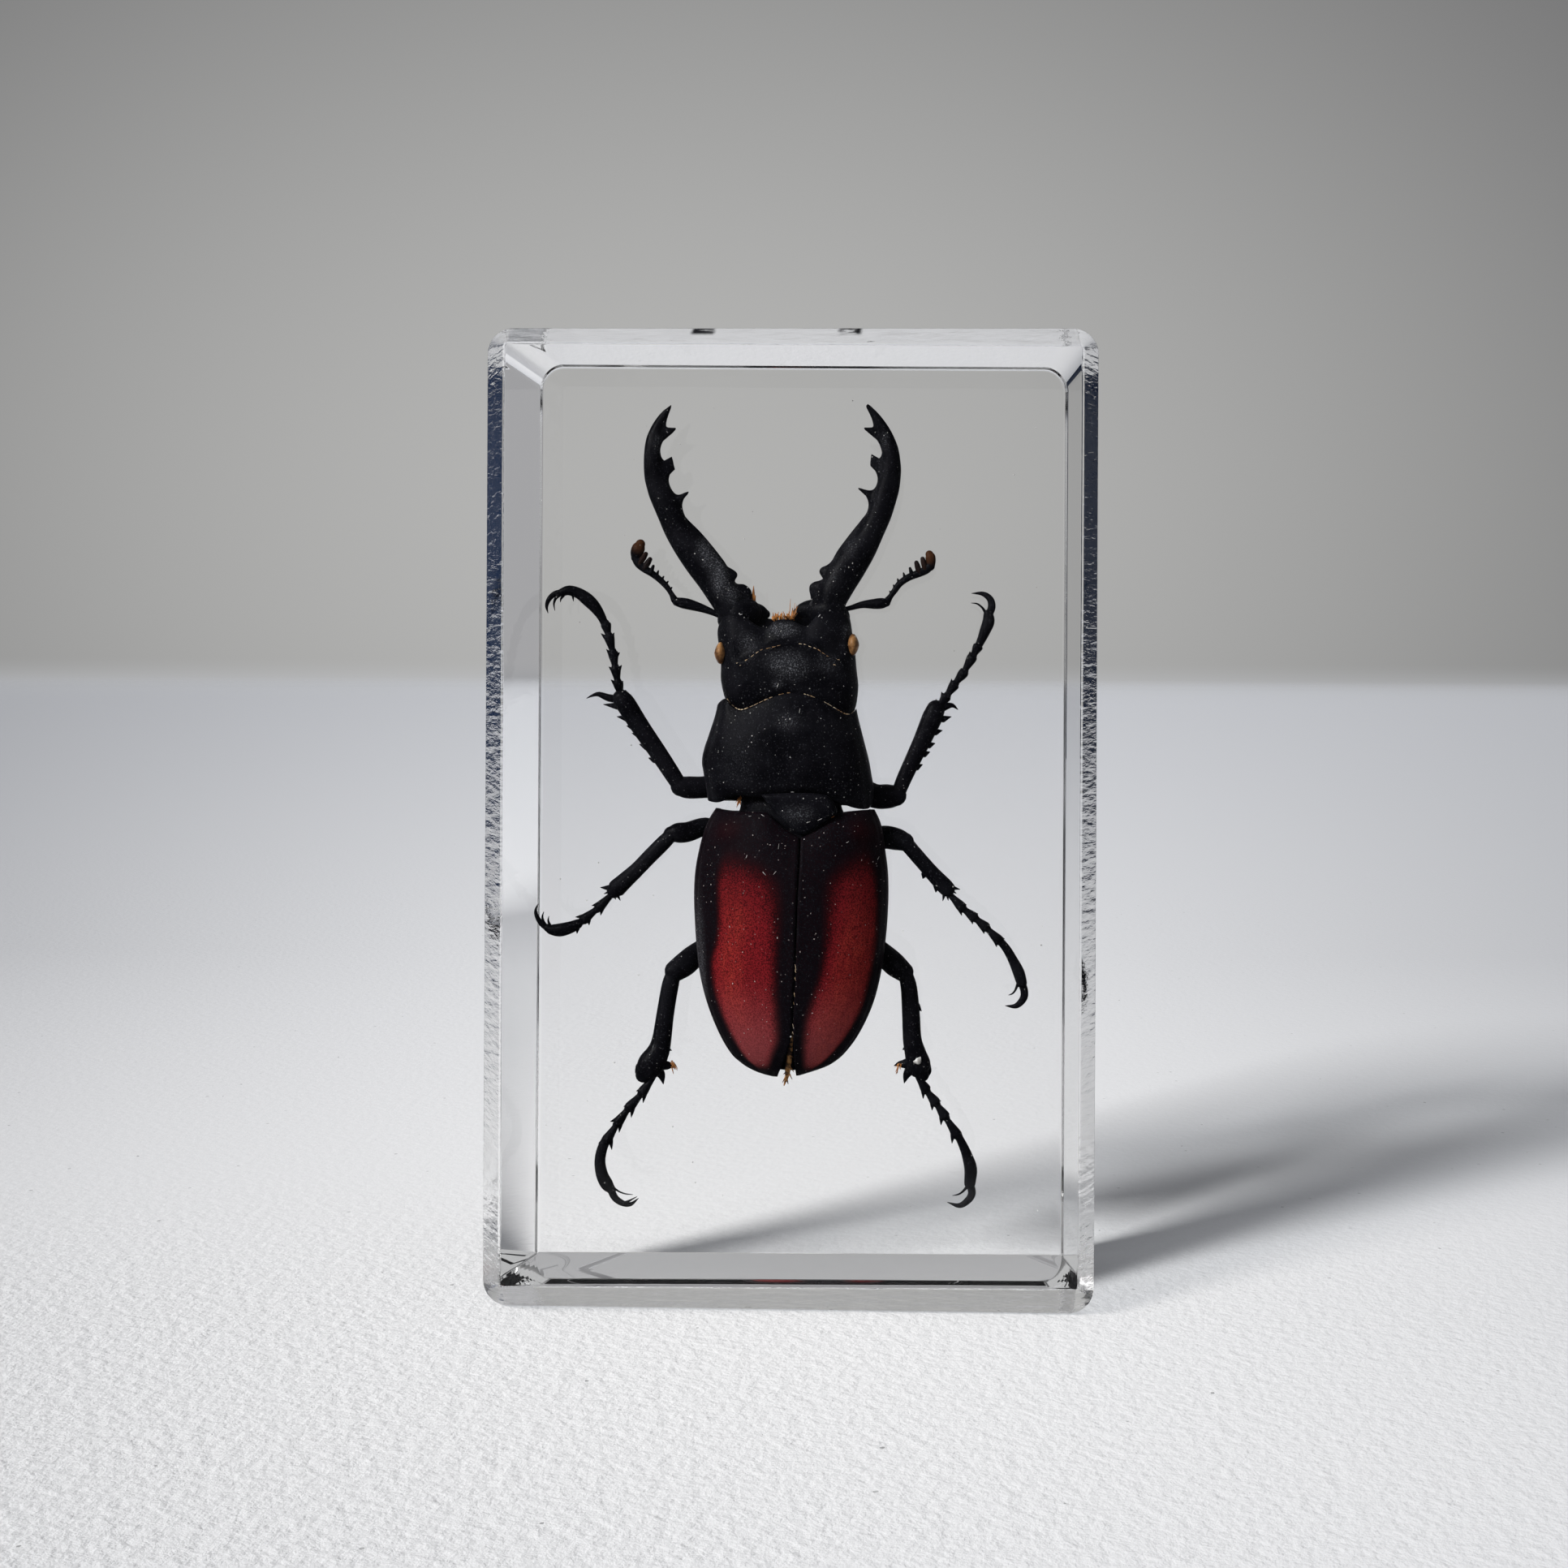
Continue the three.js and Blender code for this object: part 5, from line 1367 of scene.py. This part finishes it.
def makeBrush():
    dice = random.Random(hairs["seed"] + 1)
    bm = startMesh()
    low, high, foot = hairs["brushFoot"]
    for number in range(hairs["brushStrands"]):
        share = dice.random()
        root = Vector((low + (high - low) * share, dice.uniform(-1.2, 1.0), foot + dice.uniform(-0.3, 0.2)))
        tall = dice.uniform(0.25, 0.75) + (0.9 * dice.random() if share > 0.8 else 0.0)
        lean = dice.uniform(-0.35, 0.35) + (0.25 if share > 0.85 else 0.0)
        tip = root + Vector((lean, dice.uniform(-0.3, 0.3), tall))
        strand(bm, root, tip, dice.uniform(0.05, 0.10), 0.05)
    for x, height in hairs["longHairs"]:
        strand(bm, Vector((x - 0.1, 0.2, 78.4)), Vector((x, 0.2, height)), 0.045)
    for (x, y, z), tip, half in hairs["palps"]:
        limb(bm, [(x, y, z, half * 0.9), (x, y, z + 0.8, half), (*tip, 0.03)], sides=8, stepsEach=3,
             flat=0.6, domes=(True, False))

    def around(reach):
        return dice.uniform(-reach, reach)

    for (x, y, z), (leanX, leanZ), length, count in hairs["tufts"]:
        for number in range(count):
            root = Vector((x + around(0.2), y + around(0.7), z + around(0.35)))
            run = Vector((leanX + around(0.3), around(0.3), leanZ + around(0.3)))
            strand(bm, root, root + run * length, dice.uniform(0.04, 0.08))
    finishPiece("orangeBristles", bm, orangeHair, ("mouth_brush",))


foldedWing = {
    "blade": [(0.28, -1.5, 29.8, 0.10), (0.05, -1.0, 28.4, 0.22), (-0.15, -0.5, 26.9, 0.30),
              (-0.35, 0.0, 25.4, 0.34), (-0.5, 0.35, 24.3, 0.24), (-0.85, 0.7, 23.2, 0.06)],
    "shreds": [((-0.3, -0.3, 26.0), (0.35, -0.2, 24.9)), ((-0.4, 0.0, 25.2), (0.15, 0.1, 24.0)),
               ((-0.5, 0.2, 24.6), (-1.0, 0.4, 23.6)), ((-0.1, -0.7, 27.4), (0.3, -0.8, 26.6)),
               ((-0.45, 0.1, 25.0), (-0.9, 0.2, 24.6)), ((-0.5, 0.4, 24.2), (-0.35, 0.6, 23.4))],
    "shredHalf": 0.09,
    "shredBow": 0.1,
}


def makeFoldedWing():
    bm = startMesh()
    limb(bm, foldedWing["blade"], sides=14, stepsEach=5, flat=0.4, domes=(False, False))
    for root, tip in foldedWing["shreds"]:
        strand(bm, Vector(root), Vector(tip), foldedWing["shredHalf"], foldedWing["shredBow"], sides=7)
    finishPiece("foldedWing", bm, brownWing, ("hind_wing_tip",))


dust = {
    "seed": 23,
    "fibres": [(-1.3, 51.5, 0.6, 85), (-2.9, 48.4, 0.5, -45), (-1.7, 48.5, 0.5, 50), (10.1, 50.0, 0.35, 60),
               (2.1, 54.3, 0.45, 20), (0.2, 57.7, 0.35, 0), (1.0, 67.1, 0.5, 80), (-6.0, 78.2, 0.3, 20),
               (3.1, 78.1, 0.35, 50), (-1.6, 70.0, 0.5, 70), (-4.7, 54.9, 0.3, 10), (-3.2, 55.0, 0.4, -30),
               (3.4, 54.6, 0.5, 25), (-5.0, 50.3, 0.35, 70), (6.6, 52.0, 0.3, 30)],  # x, height, length, turn
    "fibreHalf": 0.028,
    "fibreBow": 0.08,
    "grains": [(-0.45, 26.1), (-0.3, 27.2), (0.15, 29.5), (-0.6, 66.1), (-0.1, 66.15), (1.5, 57.0), (3.0, 57.0),
               (-0.9, 55.6), (1.6, 52.3), (-6.2, 78.3)],
    "grainSize": (0.05, 0.11),
    "chip": [(14.25, 0.95, 26.05, 0.06), (14.55, 0.9, 26.05, 0.26), (14.82, 0.9, 26.15, 0.42),
             (15.1, 0.95, 26.6, 0.05)],  # a pale chip on the right hind shin
    "specks": 46,  # bubbles and lint in the clear resin round the beetle
    "speckSize": (0.03, 0.085),
    "speckBox": ((-30, 30), (-11.5, 11.5), (4, 106)),
}


def makeDust():
    dice = random.Random(dust["seed"])
    bm = startMesh()

    def ball(size, place):
        made = bmesh.ops.create_icosphere(bm, subdivisions=2, radius=dice.uniform(*size))["verts"]
        bmesh.ops.translate(bm, vec=place, verts=made)

    for x, z, length, angle in dust["fibres"]:
        turn = math.radians(angle)
        run = Vector((math.cos(turn), 0, math.sin(turn))) * length / 2
        dashOnBack(bm, x, z, run, dust["fibreHalf"], dust["fibreBow"])
    for x, z in dust["grains"]:
        ball(dust["grainSize"], backAt(x, z, 0.02))
    limb(bm, dust["chip"], sides=8, stepsEach=3, flat=0.3, domes=(False, False))
    made = 0
    while made < dust["specks"]:
        place = Vector([dice.uniform(*ends) for ends in dust["speckBox"]])
        if abs(place.x) < 15 and 20 < place.z < 100 and place.y > -7.5:  # where the beetle is
            continue
        ball(dust["speckSize"], place)
        made += 1
    finishPiece("dustAndBubbles", bm, dustWhite)


makeGoldLines()
makeBrush()
makeFoldedWing()
makeDust()
print("hairs, folded wing and dust made")


# studio

floor = {
    "size": 14.0,
    "drop": 0.00012,
    "litNearColor": (0.83, 0.825, 0.82, 1.0),
    "dimFarColor": (0.51, 0.52, 0.545, 1.0),
    "fadeReach": 0.25,
    "sideShadeTone": (0.28, 0.285, 0.30, 1.0),
    "eyeBack": 0.232,
    "leastAhead": 0.5,
    "litPull": 4.0,
    "evenRight": (0.5, 0.66),  # even light again on the sides that the photograph doesn't show
    "evenLeft": (-1.4, -0.95, 1.0, 0.0),
    "evenFront": (-0.4, -0.25, 1.0, 0.0),
    "specks": {"Scale": 420.0, "Size": 0.10, "Share": 0.2},
    "speckColor": (0.30, 0.30, 0.30, 1.0),
    "plaster": {"Scale": 620.0, "Detail": 5.0, "Roughness": 0.62},
    "bump": 0.75,
    "bumpDepth": 0.0006,
    "calm": (-0.02, 0.06, 1.0, 0.25),  # smoother behind the block
    "dark": (0.012, 0.012, 0.014, 1.0),
    "darkReach": (0.05, 0.1),
    "melt": (3.0, 11.0),
}
wallCentre = (-0.129, 0.07)  # the brightest spot of the wall, as slopes from the camera
fallBase = 0.3679


def stagePiece(name, bm, material):
    mesh = bpy.data.meshes.new(name)
    bm.to_mesh(mesh)
    bm.free()
    mesh.materials.append(material)
    obj = bpy.data.objects.new(name, mesh)
    scene.collection.objects.link(obj)
    return obj


def bellFall(tree, offset, pull):
    return joinMath(tree, "MULTIPLY", offset, offset, pull)


def mirrorRays(tree):
    path = addNode(tree, "LightPath").outputs
    return path, joinMath(tree, "MULTIPLY", path["Is Glossy Ray"], path["Is Reflection Ray"])


def makeFloor():
    bm = bmesh.new()
    bmesh.ops.create_grid(bm, x_segments=1, y_segments=1, size=floor["size"])
    bmesh.ops.translate(bm, vec=(0, 0, -floor["drop"]), verts=bm.verts)
    material, tree = newMaterial("paleFloor")
    place = addNode(tree, "TexCoord").outputs["Object"]
    x, y, z = splitAxes(tree, place)
    # painted light: the floor is paler near the block and darker far off, standing for light that falls off with
    # distance
    away = joinVectors(tree, "LENGTH", place)
    fade = joinMath(tree, "DIVIDE", away, joinMath(tree, "ADD", away, floor["fadeReach"]))
    color = mixColor(tree, fade, floor["litNearColor"], floor["dimFarColor"])
    # painted shade: the floor darkens towards the sides, away from the wall's brightest spot
    ahead = joinMath(tree, "ABSOLUTE", joinMath(tree, "ADD", y, floor["eyeBack"]), 0.0)
    slope = joinMath(tree, "DIVIDE", x, joinMath(tree, "MAXIMUM", ahead, floor["leastAhead"]))
    aside = joinMath(tree, "SUBTRACT", slope, wallCentre[0])
    lit = joinMath(tree, "POWER", fallBase, bellFall(tree, aside, floor["litPull"]))
    lit = joinMath(tree, "MAXIMUM", lit, spread(tree, aside, *floor["evenRight"]),
                   spread(tree, aside, *floor["evenLeft"]), spread(tree, y, *floor["evenFront"]))
    color = mixColor(tree, lit, floor["sideShadeTone"], color)
    specks = placeGroup(tree, fleckGroup, Vector=place, **floor["specks"])
    color = mixColor(tree, specks["Mask"], color, floor["speckColor"])
    plaster = addNode(tree, "TexNoise", Vector=place, **floor["plaster"]).outputs["Fac"]
    relief = joinMath(tree, "MULTIPLY", plaster, spread(tree, y, *floor["calm"]))
    bump = addNode(tree, "Bump", Strength=floor["bump"], Distance=floor["bumpDepth"], Height=relief)
    shade = addNode(tree, "BsdfDiffuse", Color=color, Roughness=0.5, Normal=bump.outputs[0])
    dark = addNode(tree, "BsdfDiffuse", Color=floor["dark"])
    unlit = joinMath(tree, "MULTIPLY", mirrorRays(tree)[1], spread(tree, away, *floor["darkReach"]))
    seen = mixShaders(tree, unlit, shade.outputs[0], dark.outputs[0])  # the block's faces mirror a dim room
    clear = addNode(tree, "BsdfTransparent")
    melted = mixShaders(tree, spread(tree, away, *floor["melt"]), seen, clear.outputs[0])  # far off, into the wall
    addNode(tree, "OutputMaterial", Surface=melted)
    stagePiece("floor", bm, material)


sideCards = {
    "turns": {"sideCardLeft": (-37.0, 8.5), "sideCardRight": (30.0, 6.0)},  # turn and half width
    "half": 0.2,
    "away": 1.2,
    "middle": 0.205,
    "color": (0.012, 0.022, 0.052, 1.0),
}


def makeSideCards():
    for name, (angle, half) in sideCards["turns"].items():
        bm = bmesh.new()
        bmesh.ops.create_grid(bm, x_segments=1, y_segments=1, size=sideCards["half"])
        stretch = sideCards["away"] / sideCards["half"] * math.tan(math.radians(half))
        bmesh.ops.scale(bm, vec=(stretch, 1, 1), verts=bm.verts)
        stand = Matrix.Rotation(math.radians(90), 4, "X")
        swing = Matrix.Rotation(math.radians(-angle), 4, "Z")
        shift = Matrix.Translation((0, sideCards["away"], sideCards["middle"]))
        bmesh.ops.transform(bm, matrix=swing @ shift @ stand, verts=bm.verts)
        material, tree = newMaterial(name)
        shade = addNode(tree, "BsdfDiffuse", Color=sideCards["color"])
        addNode(tree, "OutputMaterial", Surface=shade.outputs[0])
        obj = stagePiece(name, bm, material)
        obj.visible_camera = obj.visible_shadow = obj.visible_diffuse = False


room = {
    "bright": (0.460, 0.459, 0.452, 1.0),
    "dim": (0.060, 0.060, 0.065, 1.0),
    "pull": (3.0, 6.2),
    "leastAhead": 0.2,
    "edge": (0.38, 0.38, 0.39, 1.0),
    "edgeRight": (0.36, 0.5),
    "edgeTop": (0.36, 0.44),
    "footBright": (0.535, 0.545, 0.565, 1.0),
    "footDim": (0.33, 0.337, 0.352, 1.0),
    "footSlopes": (-0.020, 0.003, 1.0, 0.0),
    "around": (0.50, 0.503, 0.51, 1.0),
    "aroundFrom": (0.50, 0.66, 1.0, 0.0),
    "light": (0.22, 0.225, 0.24, 1.0),
    "mirrored": (0.02, 0.021, 0.024, 1.0),
}


def makeWorld():
    world = bpy.data.worlds.new("studio")
    scene.world = world
    world.use_nodes = True
    tree = world.node_tree
    tree.nodes.clear()
    x, y, z = splitAxes(tree, addNode(tree, "TexCoord").outputs["Generated"])
    ahead = joinMath(tree, "MAXIMUM", joinMath(tree, "ABSOLUTE", y, 0.0), room["leastAhead"])
    aside, above = (joinMath(tree, "DIVIDE", axis, ahead) for axis in (x, z))
    falls = [bellFall(tree, joinMath(tree, "SUBTRACT", slope, centre), pull)
             for slope, centre, pull in zip((aside, above), wallCentre, room["pull"])]
    fall = joinMath(tree, "POWER", fallBase, joinMath(tree, "ADD", *falls))
    beyond = joinMath(tree, "MAXIMUM", spread(tree, aside, *room["edgeRight"]), spread(tree, above, *room["edgeTop"]))
    foot = mixColor(tree, fall, room["footDim"], room["footBright"])
    wall = mixColor(tree, fall, room["dim"], room["bright"])
    wall = mixColor(tree, beyond, wall, room["edge"])
    wall = mixColor(tree, spread(tree, above, *room["footSlopes"]), wall, foot)
    wall = mixColor(tree, spread(tree, y, *room["aroundFrom"]), wall, room["around"])
    path, mirrored = mirrorRays(tree)
    seen = joinMath(tree, "MAXIMUM", path["Is Camera Ray"], path["Is Transmission Ray"])
    color = mixColor(tree, mirrored, mixColor(tree, seen, room["light"], wall), room["mirrored"])
    sky = addNode(tree, "Background", Color=color, Strength=1.0)
    addNode(tree, "OutputWorld", Surface=sky.outputs[0])


lamps = {
    "aim": (0, 0, 0.05),
    "keyPlace": (-1.09, -0.95, 0.90),
    "keyStrength": 4.0,
    "keySoftness": 14.0,
    "fillPlace": (-0.7, -0.8, 0.8),
    "fillPower": 1.4,
    "fillSize": 0.4,
}


def makeLight(name, kind, place, power):
    data = bpy.data.lights.new(name, kind)
    data.energy = power
    obj = bpy.data.objects.new(name, data)
    obj.location = place
    obj.rotation_euler = (Vector(lamps["aim"]) - Vector(place)).to_track_quat("-Z", "Y").to_euler()
    scene.collection.objects.link(obj)
    return data


makeFloor()
makeSideCards()
makeWorld()
keyLight = makeLight("keyLight", "SUN", lamps["keyPlace"], lamps["keyStrength"])
keyLight.angle = math.radians(lamps["keySoftness"])
makeLight("fillLight", "AREA", lamps["fillPlace"], lamps["fillPower"]).size = lamps["fillSize"]
scene.view_settings.view_transform = "Standard"
print("studio set")
